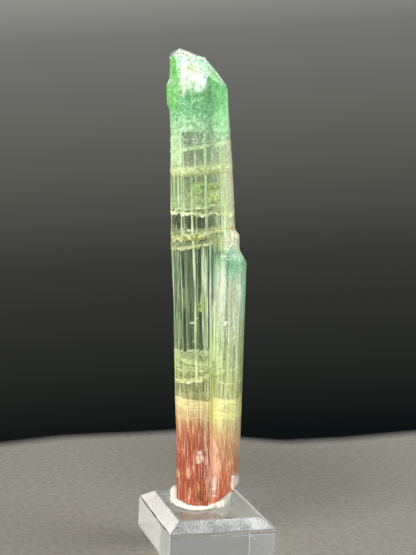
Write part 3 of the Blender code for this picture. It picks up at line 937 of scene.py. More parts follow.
def haze_material(name, stops, pale, texture_of, bands, stains_and_painted_light, cap_from, beyond=None):
    """Colour by height, streaked or mottled, and transparency from the painted haze.

    In `texture_of`, red is how long the streaks are, green is how streaked and not mottled
    it is, and blue is how spotted. To the right of the distance in `beyond` the colours are
    those of its own stops, made 1.8 times lighter: painted light, which makes up for the
    shade that falls on the step face there.
    """
    material, tree, shader = new_material(name)
    across, _, up, place, streaked = growth_of(tree)
    long_streaks = noise_of(tree, streaked, 3.2, 5.0, 0.65)
    short_streaks = noise_of(tree, growth_of(tree, 0.065)["Streaked"], 4.4, 4.0, 0.62)
    mottle = noise_of(tree, place, 1.5, 7.0, 0.75)
    fine = noise_of(tree, place, 2.3, 3.0, 0.6)
    flecks = noise_of(tree, place, 3.8, 1.0, 0.4)
    flattened = node(tree, "ShaderNodeMapping", {"Vector": place, "Scale": (0.5, 0.5, 1.6)}).outputs[0]
    fibres = noise_of(tree, flattened, 1.1, 5.0, 0.65, 1.2)
    drawn = node(tree, "ShaderNodeSeparateColor", {"Color": by_height(tree, up, texture_of)}).outputs
    texture = blend(tree, drawn["Red"], short_streaks, long_streaks)
    texture = blend(tree, drawn["Green"], mottle, texture)
    spotted = drawn["Blue"]

    wander = spread(tree, mottle, 0.3, 0.7, -0.45, 0.45)
    lifted = plus(tree, up, wander)
    paleness = by_height(tree, up, [(8, 55 * pale), (21, 65 * pale), (26, 100 * pale),
                                    (78, 100 * pale), (83, 55 * pale)])
    colour = mix_colours(tree, times(tree, spread(tree, texture, 0.53, 0.64), paleness),
                         by_height(tree, lifted, stops), WHITE_STREAK)
    depth = spread(tree, texture, 0.30, 0.56, 0.42, 1.16)
    colour = scaled(tree, colour, depth)

    haze = painted(tree, "haze")
    graininess = times(tree, spread(tree, haze, 0.0, 0.5, 0.1, 1.0), spread(tree, haze, 0.7, 1.0, 1.0, 0.1))
    grain = times(tree, spread(tree, texture, 0.3, 0.7, -0.42, 0.42), graininess)
    blobs = times(tree, spotted, spread(tree, mottle, 0.50, 0.60, 0.0, 0.75))
    dotted = times(tree, spread(tree, flecks, 0.61, 0.66), spread(tree, spotted, 0, 1, 0.2, 0.95))
    alpha = maths(tree, "ADD", haze, grain, clamp=True)
    alpha = maths(tree, "MAXIMUM", maths(tree, "MAXIMUM", alpha, blobs), dotted)

    for height, slope, half, strength, tone, fibrous in bands:
        line = maths(tree, "MULTIPLY_ADD", across, -slope, -height)
        line = plus(tree, line, plus(tree, up, times(tree, wander, 0.7)))
        near = spread(tree, maths(tree, "ABSOLUTE", line), half * 1.1, half * 0.85, 0.0, strength)
        shade = spread(tree, fibres if fibrous else mottle, 0.36, 0.60, 0.68 if fibrous else 0.72, 1.14)
        shade = times(tree, shade, spread(tree, texture, 0.35, 0.6, 0.86, 1.08))
        colour = mix_colours(tree, near, colour, scaled(tree, rgb(tone), shade))
        alpha = maths(tree, "MAXIMUM", alpha, near)

    if beyond:
        edge, other_stops = beyond
        # Painted light: right of the edge, the side crystal's colours are made 1.8 times lighter, to make up
        # for the shade that falls on the step face.
        other = scaled(tree, by_height(tree, lifted, other_stops), times(tree, depth, 1.8))
        share = times(tree, spread(tree, across, edge - 0.06, edge + 0.06), spread(tree, up, 56.0, 48.0))
        colour = mix_colours(tree, share, colour, other)

    blur = plus(tree, spread(tree, mottle, 0.3, 0.7, -0.8, 0.8), spread(tree, texture, 0.3, 0.7, 0.6, -0.6))
    # Stains, and in the main crystal one patch of painted light from the window.
    for right, height, wide, tall, strength, tone in stains_and_painted_light:
        du = maths(tree, "DIVIDE", maths(tree, "SUBTRACT", across, right), wide)
        dv = maths(tree, "DIVIDE", maths(tree, "SUBTRACT", up, height), tall)
        far = plus(tree, times(tree, du, du), times(tree, dv, dv))
        near = times(tree, spread(tree, plus(tree, far, blur), 1.2, 0.6),
                     spread(tree, texture, 0.40, 0.54, 0.2 * strength, strength))
        colour = mix_colours(tree, near, colour, tone)
        alpha = maths(tree, "MAXIMUM", alpha, near)

    colour = mix_colours(tree, dotted, colour, WHITE_FLECK)
    # Faces of the cap that are turned up are made pale and mottled: partly etched frost, partly a painted
    # reflection of the window's light.
    frosted = times(tree, spread(tree, facing_up(tree), 0.2, 0.35), spread(tree, up, *cap_from),
                    times(tree, spread(tree, fine, 0.41, 0.55, 0.0, 0.95), spread(tree, across, 3.4, 1.6)))
    painted_sheen = ramp(tree, noise_of(tree, place, 0.8, 2.0), CAP_PAINTED_SHEEN)
    plug(tree, shader, {"Base Color": mix_colours(tree, frosted, colour, painted_sheen), "Alpha": alpha,
                        "Roughness": 0.55})
    print(name, len(tree.nodes), "nodes")
    return material


# %% Colours by height, from the red foot to the green tip
MAIN_STOPS = (
    (8, (44, 11, 5)), (14, (42, 10, 5)), (19.5, (44, 13, 7)), (22.6, (50, 20, 10)),
    (24.4, (62, 38, 19)), (27.2, (74, 56, 30)), (27.9, (60, 62, 34)), (31, (66, 70, 36)),
    (35.5, (70, 76, 42)), (38, (56, 74, 46)), (57, (56, 72, 45)), (66, (58, 70, 42)),
    (70, (58, 70, 44)), (75, (46, 66, 40)), (77.5, (32, 58, 34)), (80, (16, 45, 20)),
    (83, (11.5, 39, 13.5)), (91, (12.5, 39, 9)),
)
SIDE_STOPS = (
    (8, (46, 13, 6)), (14, (48, 17, 8)), (18, (50, 30, 18)), (20.5, (58, 44, 27)), (23.5, (60, 54, 30)),
    (28.0, (68, 68, 34)), (28.6, (56, 58, 32)), (33, (56, 62, 36)), (38, (53, 61, 39)),
    (44, (63, 68, 57)), (49, (62, 71, 63)), (52, (40, 62, 49)), (54, (24, 52, 38)), (57, (14, 42, 28)),
)
GOLD, PALE_ROOT = (42, 36, 9), (86, 70, 62)
print("colours by height:", len(MAIN_STOPS), "in the main crystal,", len(SIDE_STOPS), "in the side one")

# %% Haze of the main crystal
HAZE_GAP, MAIN_PALE, SIDE_PALE = 0.05, 0.7, 0.68
MAIN_TEXTURE = (
    (8, (0, 100, 0)), (23, (10, 100, 0)), (29, (100, 100, 0)), (60, (100, 100, 0)), (64, (80, 60, 50)),
    (68, (60, 60, 20)), (72.5, (50, 50, 30)), (74, (30, 20, 100)), (77, (30, 10, 80)),
    (81, (30, 10, 35)), (92, (30, 10, 0)),
)
MAIN_BANDS = (
    # height, slope, half thickness, strength, colour, fibrous
    (77.75, 0.0, 0.12, 0.5, (34, 44, 18), False), (73.5, 0.2, 0.32, 0.85, (60, 72, 44), False),
    (69.6, 0.1, 0.75, 0.85, (64, 70, 40), False), (68.75, 0.12, 0.14, 0.8, (40, 37, 13), False),
    (58.15, 0.19, 0.36, 0.75, (66, 70, 44), False), (56.1, 0.17, 0.28, 0.7, (60, 68, 42), False),
    (25.6, -0.06, 1.6, 0.95, (70, 53, 33), True), (26.85, -0.1, 1.0, 0.95, (81, 71, 43), True),
    (27.8, -0.1, 0.12, 0.9, (94, 88, 70), False), (32.1, 0.22, 0.42, 0.8, (76, 76, 42), False),
    (34.1, 0.0, 0.2, 0.6, (66, 74, 36), False), (34.9, -0.14, 0.4, 0.5, (62, 70, 34), False),
)
MAIN_STAINS_AND_PAINTED_LIGHT = (
    # across, height, half width, half height, strength, colour
    (0.62, 21.5, 0.35, 4.5, 0.9, (80, 66, 54)), (1.34, 42.0, 0.13, 13.0, 0.9, (84, 90, 82)),
    (3.3, 51.8, 0.1, 2.8, 1.0, (90, 95, 88)), (3.05, 47.9, 0.1, 2.2, 1.0, (90, 94, 86)),
    (2.85, 44.4, 0.1, 2.4, 0.9, (90, 94, 86)), (0.75, 45.3, 0.42, 1.1, 1.0, (42, 52, 10)),
    (0.75, 46.9, 0.4, 0.8, 0.7, (60, 72, 40)), (1.75, 14.0, 1.3, 7.0, 0.85, (96, 78, 69)),
    (-0.4, 17.3, 0.7, 1.0, 0.9, (88, 78, 68)), (-0.05, 20.6, 0.1, 2.8, 0.9, (20, 6, 3)),
    (-0.3, 57.45, 0.85, 0.42, 1.0, GOLD), (1.3, 57.8, 0.7, 0.36, 1.0, GOLD),
    (3.0, 58.3, 0.6, 0.32, 0.9, GOLD), (-2.1, 57.3, 0.4, 0.25, 0.8, GOLD),
    (-0.85, 11.5, 0.3, 1.2, 1.0, (62, 56, 14)), (-0.5, 10.2, 0.45, 0.9, 1.0, (16, 14, 3)),
    (-4.5, 13.7, 0.4, 0.9, 0.9, (74, 62, 36)), (-2.5, 14.3, 0.4, 1.0, 0.9, (80, 66, 46)),
    # The long pinkish stain 6.3 across and 67 high, on the right narrow side, is painted light: it stands for
    # the window's light on that rough side.
    (-2.35, 10.7, 0.2, 1.3, 0.9, (84, 74, 56)), (6.3, 67.0, 1.2, 14.0, 0.8, (62, 54, 47)),
    (6.7, 56.3, 1.9, 3.6, 0.95, (86, 78, 72)), (5.5, 82.0, 0.12, 6.0, 0.9, (93, 95, 90)),
    (5.2, 81.0, 0.1, 3.5, 0.8, (10, 32, 16)), (0.2, 84.6, 2.0, 1.5, 0.85, (88, 95, 90)),
    (-4.6, 85.0, 1.8, 6.0, 0.6, (26, 62, 17)), (4.2, 82.0, 1.7, 7.0, 0.8, (22, 62, 25)),
    (4.2, 77.6, 1.5, 3.0, 0.8, (48, 80, 50)), (3.6, 56.6, 1.6, 1.8, 0.7, (66, 72, 48)),
    (-1.95, 86.2, 0.55, 4.0, 1.0, (90, 83, 78)), (-2.1, 84.2, 0.2, 1.5, 0.9, (80, 66, 55)),
    (1.7, 25.6, 0.32, 3.6, 0.8, (66, 60, 37)),
)
main_cloud = haze_material("main_cloud", MAIN_STOPS, MAIN_PALE, MAIN_TEXTURE, MAIN_BANDS, MAIN_STAINS_AND_PAINTED_LIGHT,
                           cap_from=(70.0, 72.0), beyond=(1.36, SIDE_STOPS))
keep_inside(main_haze, HAZE_GAP)
finish_piece(main_haze, [main_cloud], "tourmaline")

# %% Haze of the side crystal
SIDE_TEXTURE = (
    (8, (0, 100, 0)), (24, (20, 95, 30)), (30, (60, 85, 50)), (40, (60, 75, 80)), (48, (80, 70, 60)),
    (57, (60, 40, 0)),
)
SIDE_BANDS = (
    # height, slope, half thickness, strength, colour, fibrous
    (26.25, 0.0, 1.95, 0.95, (74, 74, 41), True), (28.15, 0.0, 0.12, 0.8, (92, 92, 66), False),
)
SIDE_STAINS = (
    # across, height, half width, half height, strength, colour
    (2.3, 16.0, 0.9, 4.5, 0.95, PALE_ROOT), (1.5, 10.5, 0.6, 3.2, 0.95, PALE_ROOT),
    (4.3, 51.0, 0.6, 4.0, 0.75, (82, 80, 74)), (3.35, 45.5, 0.2, 3.4, 0.85, (60, 48, 40)),
    (5.0, 42.0, 0.12, 4.5, 0.9, (24, 30, 19)), (3.5, 51.5, 0.14, 3.2, 1.0, (92, 94, 88)),
    (5.9, 54.9, 0.8, 0.5, 0.9, (5, 26, 15)), (5.2, 55.5, 0.6, 0.22, 1.0, (90, 96, 90)),
    (4.7, 54.4, 0.5, 0.2, 1.0, (92, 96, 92)), (6.5, 54.4, 0.5, 0.2, 1.0, (92, 96, 92)),
    (3.15, 47.5, 0.13, 2.2, 1.0, (92, 94, 88)), (2.9, 44.5, 0.12, 2.0, 0.9, (92, 94, 88)),
    (6.0, 12.0, 0.75, 1.5, 1.0, (95, 92, 88)), (4.75, 38.7, 0.2, 0.5, 0.9, (35, 20, 6)),
    (3.05, 46.0, 0.25, 3.5, 0.6, (55, 42, 34)), (5.75, 46.3, 0.3, 4.2, 0.9, (60, 45, 34)),
    (5.16, 51.8, 0.12, 3.4, 1.0, (6, 18, 12)), (6.3, 53.2, 1.0, 1.8, 0.8, (20, 54, 36)),
    (7.35, 46.0, 0.1, 11.0, 0.9, (88, 94, 86)), (8.3, 42.0, 0.75, 18.0, 0.95, (48, 92, 56)),
)
side_cloud = haze_material("side_cloud", SIDE_STOPS, SIDE_PALE, SIDE_TEXTURE, SIDE_BANDS, SIDE_STAINS,
                           cap_from=(60.0, 61.0))
keep_inside(side_haze, HAZE_GAP)
finish_piece(side_haze, [side_cloud], "tourmaline")

# %% [markdown]
# ## Healed fractures
# Now and then the growing crystal cracked right across and healed. Each crack is a thin
# wavy sheet of trapped fluid, seen almost edge on as a yellow or golden line with lacy
# parts. It is made from a disc on the crystal's outline: a low rim is extruded, then
# ring after ring towards the middle, and the points are lifted onto the wavy surface.

# %% One healed fracture
RING_SCALES = (0.94, 0.9, 0.88, 0.86, 0.84, 0.8, 0.7, 0.5)
WAVES = ((0.45, 1.0), (1.3, 0.5), (3.1, 0.3))   # how close together, how high


def healed_fracture(section, height, slope_across, slope_forward, rim, wave, seed):
    """A wavy sheet across the crystal; slopes are rise per millimetre, rim is its edge's height."""
    outline = section(height)
    count = len(outline)
    middle_across = sum(p[0] for p in outline) / count
    middle_forward = sum(p[1] for p in outline) / count
    sheet = new_disc("fracture", count)
    for vertex, (across, forward) in zip(sheet.data.vertices, outline):
        vertex.co = (across * MM, forward * MM, 0)
    edit_all()
    extrude_up(rim * MM)
    for scale in RING_SCALES:
        extrude_up(0)
        bpy.ops.transform.resize(value=(scale, scale, 1),
                                 center_override=(middle_across * MM, middle_forward * MM, 0))
    edit_done()
    rim_layer = sheet.data.attributes.new("rim", "FLOAT", "POINT")
    shift = Vector((seed * 7.3, seed * 3.1, 0))
    for vertex in sheet.data.vertices:
        across, forward, up = vertex.co / MM
        place = Vector((across, forward, 0)) + shift
        lift = wave * sum(high * noise.noise(place * close) for close, high in WAVES)
        lift += slope_across * (across - middle_across) + slope_forward * (forward - middle_forward)
        ragged = 0.6 + 0.8 * noise.noise(place * 1.1 + Vector((0, 0, 5)))
        rim_layer.data[vertex.index].value = 1.0 if up < rim * 0.5 else 0.0
        vertex.co = crystal_point(across, forward, height + lift + (up - rim) * max(0.15, ragged))
    # The disc's own face under the rim and the small one left in the middle are taken out.
    edit_selected(sheet, "FACE", lambda face: len(face.vertices) > 4)
    bpy.ops.mesh.delete(type="ONLY_FACE")
    edit_done()
    bpy.ops.object.shade_smooth()
    return sheet


def join_pieces(name, pieces):
    select_only(*pieces)
    bpy.ops.object.join()
    bpy.context.object.name = name
    print(name, "joined from", len(pieces))
    return bpy.context.object


# %% Fractures of both crystals
FRACTURE_INSET, FRACTURE_GAP = 0.12, 0.08
FRACTURES = (
    # height, slope across, slope forward, rim, wave, crystal, colour
    (73.7, 0.20, -0.05, 0.20, 0.15, "main", "green"), (70.2, 0.10, -0.06, 0.75, 0.18, "main", "green"),
    (62.6, -0.03, -0.10, 1.10, 0.30, "main", "green"), (63.6, 0.06, -0.14, 0.50, 0.35, "main", "green"),
    (58.6, 0.19, -0.05, 1.0, 0.16, "main", "gold"), (56.8, 0.17, -0.10, 0.60, 0.16, "main", "gold"),
    (35.3, -0.15, -0.10, 0.45, 0.22, "main", "green"), (34.5, 0.05, -0.20, 0.30, 0.40, "main", "green"),
    (32.6, 0.12, -0.16, 0.50, 0.22, "main", "green"), (34.2, 0.05, -0.15, 0.30, 0.30, "side", "green"),
    (31.8, -0.06, -0.18, 0.35, 0.30, "side", "green"),
)
sheets = {"gold": [], "green": []}
for seed, (level, across, forward, rim, wave, crystal, kind) in enumerate(FRACTURES, start=1):
    section = smooth_section(main_section if crystal == "main" else side_section, FRACTURE_INSET)
    sheets[kind].append(healed_fracture(section, level, across, forward, rim, wave, seed))
gold_fractures = join_pieces("gold_fractures", sheets["gold"])
green_fractures = join_pieces("green_fractures", sheets["green"])

# %% Fracture materials
def fracture_material(name, dull, bright, fleck):
    """Lacy, shiny in patches, and solid along its rim."""
    material, tree, shader = new_material(name)
    place = growth_of(tree)["Place"]
    lace = noise_of(tree, place, 1.9, 5.0, 0.65, 0.6)
    tone = noise_of(tree, place, 1.1, 4.0, 0.6)
    rim = times(tree, spread(tree, painted(tree, "rim"), 0.0, 0.6), spread(tree, tone, 0.3, 0.5, 0.35, 0.95))
    plug(tree, shader, {
        "Base Color": ramp(tree, tone, [(0.36, dull), (0.45, bright), (0.50, bright), (0.54, fleck)]),
        "Alpha": maths(tree, "MAXIMUM", spread(tree, lace, 0.45, 0.54, 0.04, 0.8), rim),
        "Roughness": spread(tree, lace, 0.4, 0.6, 0.18, 0.5),
        "Normal": bump(tree, lace, 0.0002, 0.8)})
    return material


for piece, name, colours in (
        (gold_fractures, "fluid_gold", ((52, 55, 24), (80, 84, 60), (42, 36, 7))),
        (green_fractures, "fluid_green", ((32, 37, 12), (70, 76, 42), (90, 93, 74)))):
    keep_inside(piece, FRACTURE_GAP)
    finish_piece(piece, [fracture_material(name, *colours)], "tourmaline")


# %% [markdown]
# ## Wisps and flakes
# Small scraps of the same kind float here and there: a green-yellow cloud between two
# fractures, a bright green speck, white flakes and thin wisps. Each is a small grid,
# crumpled by moving its points. The green ones are joined in one piece, the white ones,
# with the fresh chips near the foot, in another.

# %% Crumpled scraps
SCRAP_CUTS, WISP_GAP, FLAKE_GAP = 14, 0.12, 0.1


def scrap(across, depth, height, wide, tall, tilt, crumple, seed):
    """A crumpled leaf, its depth counted from the main front face and its tilt back in degrees."""
    select_only()
    bpy.ops.mesh.primitive_grid_add(x_subdivisions=SCRAP_CUTS, y_subdivisions=SCRAP_CUTS, size=1)
    leaf = bpy.context.object
    bpy.ops.transform.resize(value=(wide * MM, tall * MM, 1))
    bpy.ops.object.transform_apply(location=True, rotation=True, scale=True)
    lean = math.radians(tilt)
    layer = leaf.data.attributes.new("edge", "FLOAT", "POINT")
    for vertex in leaf.data.vertices:
        u, v = vertex.co.x / MM, vertex.co.y / MM
        place = Vector((u * 1.6 + seed * 5.1, v * 1.6, seed))
        out = crumple * (noise.noise(place) + 0.5 * noise.noise(place * 2.3))
        layer.data[vertex.index].value = max(abs(2 * u / wide), abs(2 * v / tall))
        up = height + v * math.cos(lean)
        forward = front_of_main(across + u, up) - depth
        vertex.co = crystal_point(across + u, forward + out * math.cos(lean) + v * math.sin(lean),
                                  up + out * math.sin(lean) * 0.5)
    return leaf


def scrap_material(name, lacy, tone, stops, solid_at, edge_fade, gain, roughness):
    """Lacy, and fading towards the edge of each scrap."""
    material, tree, shader = new_material(name)
    place = growth_of(tree)["Place"]
    lace = spread(tree, noise_of(tree, place, *lacy), 0.40, solid_at)
    fade = maths(tree, "SUBTRACT", lace, spread(tree, painted(tree, "edge"), *edge_fade))
    plug(tree, shader, {"Base Color": ramp(tree, noise_of(tree, place, *tone), stops),
                        "Alpha": maths(tree, "MULTIPLY", fade, gain, clamp=True), "Roughness": roughness})
    return material


SCRAPS = (
    # across, depth, height, wide, tall, tilt, crumple
    (-4.6, 0.5, 66.3, 2.6, 3.0, 20, 0.5), (-1.9, 1.4, 65.0, 3.2, 3.6, -25, 0.6),
    (-3.4, 1.2, 63.8, 4.6, 2.2, 60, 0.5), (-6.6, 0.9, 63.4, 2.4, 1.4, 65, 0.4),
    (-4.6, 0.7, 67.2, 3.6, 1.6, 40, 0.4), (-5.6, 0.7, 65.2, 2.4, 2.2, 30, 0.4),
    (-2.2, 0.9, 66.8, 2.8, 2.0, 20, 0.5), (-4.2, 0.6, 62.9, 5.0, 0.9, 55, 0.35),
    (-1.2, 1.9, 64.6, 2.0, 2.6, 20, 0.4), (-3.0, 0.7, 64.4, 3.6, 1.2, 50, 0.4),
    (-2.6, 0.3, 46.3, 1.4, 2.2, 5, 0.12), (-2.5, 0.28, 44.9, 1.7, 1.9, 5, 0.12),
    (-2.4, 0.35, 45.2, 1.5, 2.4, 5, 0.12), (-6.6, 0.9, 38.3, 1.3, 0.5, 40, 0.2),
    (1.6, -0.1, 35.3, 2.0, 1.2, 50, 0.3), (0.8, -0.1, 32.6, 2.2, 1.0, 40, 0.3),
)
inner_wisps = join_pieces("inner_wisps", [scrap(*row, seed=1 + i) for i, row in enumerate(SCRAPS)])
keep_inside(inner_wisps, WISP_GAP)
wisp_green = scrap_material("wisp_green", (2.6, 5.0, 0.7, 0.5), (1.5, 3.0),
                            [(0.38, (32, 50, 13)), (0.5, (64, 76, 24)), (0.62, (92, 96, 66))],
                            0.55, (0.45, 1.0), 1.1, 0.35)
finish_piece(inner_wisps, [wisp_green], "tourmaline")

# %% Bright flakes, and the fresh chip above the foot
BRIGHT = (
    # across, depth, height, wide, tall, tilt, crumple
    (-6.75, 0.18, 58.6, 0.35, 1.5, 10, 0.06), (-5.5, 0.18, 58.9, 1.4, 0.6, 20, 0.08),
    (-6.0, 0.18, 58.1, 0.6, 0.4, 30, 0.06), (-4.9, 0.18, 58.3, 0.5, 0.5, 30, 0.06),
    (1.8, -0.76, 42.3, 1.5, 1.2, 5, 0.05), (3.0, -0.76, 42.1, 1.1, 1.1, 5, 0.05),
    (1.3, -0.74, 43.0, 0.4, 1.4, 0, 0.04), (2.5, -0.76, 41.2, 1.2, 0.4, 10, 0.05),
    (3.2, -0.72, 35.6, 0.8, 0.4, 10, 0.05), (2.0, -0.7, 33.6, 0.7, 0.9, 10, 0.05),
    (-6.4, 0.5, 63.0, 0.7, 0.4, 40, 0.2), (-3.4, 0.5, 62.3, 0.9, 0.3, 60, 0.2),
    (-1.0, 1.6, 64.0, 1.6, 0.5, 45, 0.3), (-5.0, 0.4, 55.6, 2.2, 0.3, 40, 0.15),
    (-6.6, 0.4, 55.5, 1.3, 0.3, 40, 0.15), (-3.6, 0.5, 43.0, 0.9, 0.25, 30, 0.2),
    (-5.2, 0.5, 33.4, 1.4, 0.4, 50, 0.3), (-2.6, 0.4, 33.0, 1.3, 0.4, 50, 0.3),
    (2.9, -0.3, 34.3, 1.1, 0.3, 40, 0.2), (2.0, -0.42, 12.6, 0.42, 3.4, 0, 0.0),
    (1.95, -0.42, 10.4, 0.4, 2.2, 0, 0.0), (1.6, -0.12, 15.6, 0.34, 4.2, 0, 0.0),
    (1.35, -0.1, 10.0, 0.9, 0.5, 0, 0.06), (-1.7, -0.07, 18.3, 1.2, 1.0, 0, 0.03),
    (-1.9, -0.07, 16.6, 0.9, 1.1, 0, 0.03), (-1.3, -0.07, 17.4, 0.9, 1.0, 0, 0.03),
    (-0.75, -0.07, 22.5, 0.16, 5.5, 0, 0.0), (-1.05, -0.07, 21.5, 0.14, 4.5, 0, 0.0),
    (-0.6, -0.06, 15.0, 0.14, 5.0, 0, 0.0), (2.6, -0.87, 52.4, 0.9, 0.25, 10, 0.04),
    (1.7, -0.93, 53.9, 2.3, 0.16, 0, 0.0), (0.4, 1.75, 57.4, 0.25, 1.8, 0, 0.05),
    (4.6, -0.38, 13.4, 1.1, 1.5, 0, 0.04), (5.0, -0.3, 13.8, 0.7, 1.3, 0, 0.04),
    (4.4, -0.4, 12.9, 0.8, 0.8, 0, 0.03), (4.2, -0.4, 12.4, 1.0, 0.7, 0, 0.06),
    (3.3, -0.42, 16.6, 0.5, 0.5, 10, 0.06), (3.6, -0.42, 15.9, 0.35, 0.5, 10, 0.06),
    (1.3, 0.0, 12.2, 0.3, 4.4, 0, 0.0), (0.75, -0.03, 10.6, 0.3, 2.8, 0, 0.0),
    (2.5, -0.42, 18.2, 0.3, 3.6, 0, 0.0), (-4.2, 0.7, 42.2, 1.2, 0.6, 25, 0.4),
    (-3.7, 0.8, 38.8, 0.9, 0.5, 30, 0.4),
)
bright_flakes = join_pieces("bright_flakes", [scrap(*row, seed=40 + i) for i, row in enumerate(BRIGHT)])
keep_inside(bright_flakes, FLAKE_GAP)
FLAKE_LACE = (3.2, 4.0, 0.7, 0.8)
flake_white = scrap_material("flake_white", FLAKE_LACE, FLAKE_LACE,
                             [(0.35, (62, 66, 55)), (0.5, (94, 94, 88))],
                             0.50, (0.5, 1.0, 0.0, 0.95), 1.0, 0.2)
finish_piece(bright_flakes, [flake_white], "tourmaline")

# %% [markdown]
# ## The putty
# The broken foot is bedded in a roll of soft white mineral putty, pressed out by thumb. A
# fluid simulation could squeeze it, but a disc raised through a few rings, moved out and
# up by how much was pressed there, is easier to steer. The crystal, swollen a hair's
# breadth, is then cut away, so that the putty closes round it as it does when pressed.

# %% The putty's measures
STAND_WIDTH, STAND_DEPTH, STAND_HEIGHT = 20.0, 22.0, 7.6
PRESSED = 0.01                                  # how deep it sticks into the block
PUTTY_CENTRE = (0.0, -1.3)
PUTTY_POINTS, SMOOTHED_OVER, FEELER = 180, 4, 0.9
PUTTY_RIM = (
    # bearing, how far outside the crystal, how high
    (0, -1.1, 2.2), (25, -1.0, 2.6), (55, 0.0, 1.2), (80, 0.3, 0.7), (105, 0.35, 0.7), (130, 0.6, 0.95),
    (150, 0.8, 1.35), (163, 0.95, 1.5), (172, 1.25, 2.2), (190, 1.4, 2.2), (205, 1.35, 2.0),
    (235, 1.1, 1.7), (270, 1.0, 1.9), (305, 1.2, 1.6), (335, 0.2, 1.8), (360, -1.1, 2.2),
)
PUTTY_PROFILE = (
    # inwards, share of the height
    (0.55, 0.0), (0.22, 0.04), (0.06, 0.16), (0.0, 0.36), (0.02, 0.56), (0.12, 0.76), (0.3, 0.91),
    (0.55, 0.99), (0.85, 1.0), (1.3, 0.94), (2.0, 0.86),
)


def foot_reach(direction):
    """How far the crystal's foot reaches from the putty's centre in a direction."""
    reach = 0.0
    for point in main_section(AXIS_FOOT[0], fine=level_field, flutes=level_field):
        across, forward = point[0] - PUTTY_CENTRE[0], point[1] - PUTTY_CENTRE[1]
        if abs(across * direction[1] - forward * direction[0]) < FEELER:
            reach = max(reach, across * direction[0] + forward * direction[1])
    return reach


angles = [math.tau * index / PUTTY_POINTS for index in range(PUTTY_POINTS)]
reaches = [foot_reach((math.cos(angle), math.sin(angle))) for angle in angles]
window = range(-SMOOTHED_OVER, SMOOTHED_OVER + 1)
reaches = [sum(reaches[(i + k) % PUTTY_POINTS] for k in window) / len(window) for i in range(PUTTY_POINTS)]
print("the foot reaches %.1f to %.1f mm from the putty's centre" % (min(reaches), max(reaches)))

# %% Putty wad
putty_wad = new_disc("putty_wad", PUTTY_POINTS)
edit_all()
for _ in PUTTY_PROFILE[1:]:
    extrude_up(MM)
edit_done()
for vertex in putty_wad.data.vertices:
    angle = math.atan2(vertex.co.y, vertex.co.x) % math.tau
    inwards, share = PUTTY_PROFILE[round(vertex.co.z / MM)]
    bearing = math.degrees(angle)
    direction = Vector((math.cos(angle), math.sin(angle), 0))
    lump = noise.noise(direction * 3.2) + 0.8 * noise.noise(direction * 8.5)
    nearest = round(angle / math.tau * PUTTY_POINTS) % PUTTY_POINTS
    reach = reaches[nearest] + along(PUTTY_RIM, bearing) - inwards
    tall = along(PUTTY_RIM, bearing, 2) * (1 + 0.32 * lump + 0.25 * noise.noise(direction * 15))
    if share:
        finger = noise.noise(Vector((direction.x * 12, direction.y * 12, share * 2)))
        reach += 0.28 * lump + 0.34 * finger
    spot = Vector((PUTTY_CENTRE[0] + direction.x * reach, PUTTY_CENTRE[1] + direction.y * reach))
    vertex.co = crystal_point(spot.x, spot.y, STAND_HEIGHT - PRESSED + (tall + PRESSED) * share)
face_outwards()
print("putty wad:", len(putty_wad.data.polygons), "faces")

# %% Cut the crystal's foot out of the putty
SOCKET_TOP, SWOLLEN = 16, 0.025
select_only(crystal_skin)
bpy.ops.object.duplicate()
socket = bpy.context.object
socket.name = "putty_socket"
edit_all()
bpy.ops.mesh.bisect(plane_co=(0, 0, SOCKET_TOP * MM), plane_no=(0, 0, 1), use_fill=True,
                    clear_outer=True, threshold=1e-7)
bpy.ops.mesh.select_all(action="SELECT")
bpy.ops.transform.shrink_fatten(value=SWOLLEN * MM)
edit_done()
combine(putty_wad, socket, "DIFFERENCE")
select_only(putty_wad)
bpy.ops.object.shade_smooth_by_angle(angle=math.radians(50))
heights = [v.co.z / MM for v in putty_wad.data.vertices]
cad_putty = [tuple(round(c / MM, 1) for c in corner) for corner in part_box("mineral_putty")]
print("putty from %.2f to %.2f mm high, CAD box %s" % (min(heights), max(heights), cad_putty))

# %% Putty material
putty_paint, tree, shader = new_material("putty_cream")
place = growth_of(tree)["Place"]
blotches = noise_of(tree, place, 0.9, 4.0, 0.6)
plug(tree, shader, {
    "Base Color": ramp(tree, blotches, [(0.34, (92, 87, 70)), (0.5, (99, 97, 88)), (0.66, (100, 100, 96))]),
    "Roughness": 0.42, "Normal": bump(tree, noise_of(tree, place, 2.6, 6.0, 0.65, 0.6), 0.00012, 0.9)})
finish_piece(putty_wad, [putty_paint], "putty", "mineral_putty")

# %% [markdown]
# ## The acrylic block
# The stand is a block of cast acrylic with a wide bevel, sawn, and polished with a flame:
# most sides are clear, the left end is a little milky and the bevels keep fine pits. A
# cube is drawn in at its top for the wide bevel and its edges are broken, so that each
# one shows as a bright line.

# %% Acrylic block
BEVEL_WIDTH, BEVEL_DROP, BROKEN_EDGE = 2.4, 1.7, 0.15
SIDE_HEIGHT = STAND_HEIGHT - BEVEL_DROP
CLEAR, PITTED, FROSTED, MILKY = range(4)

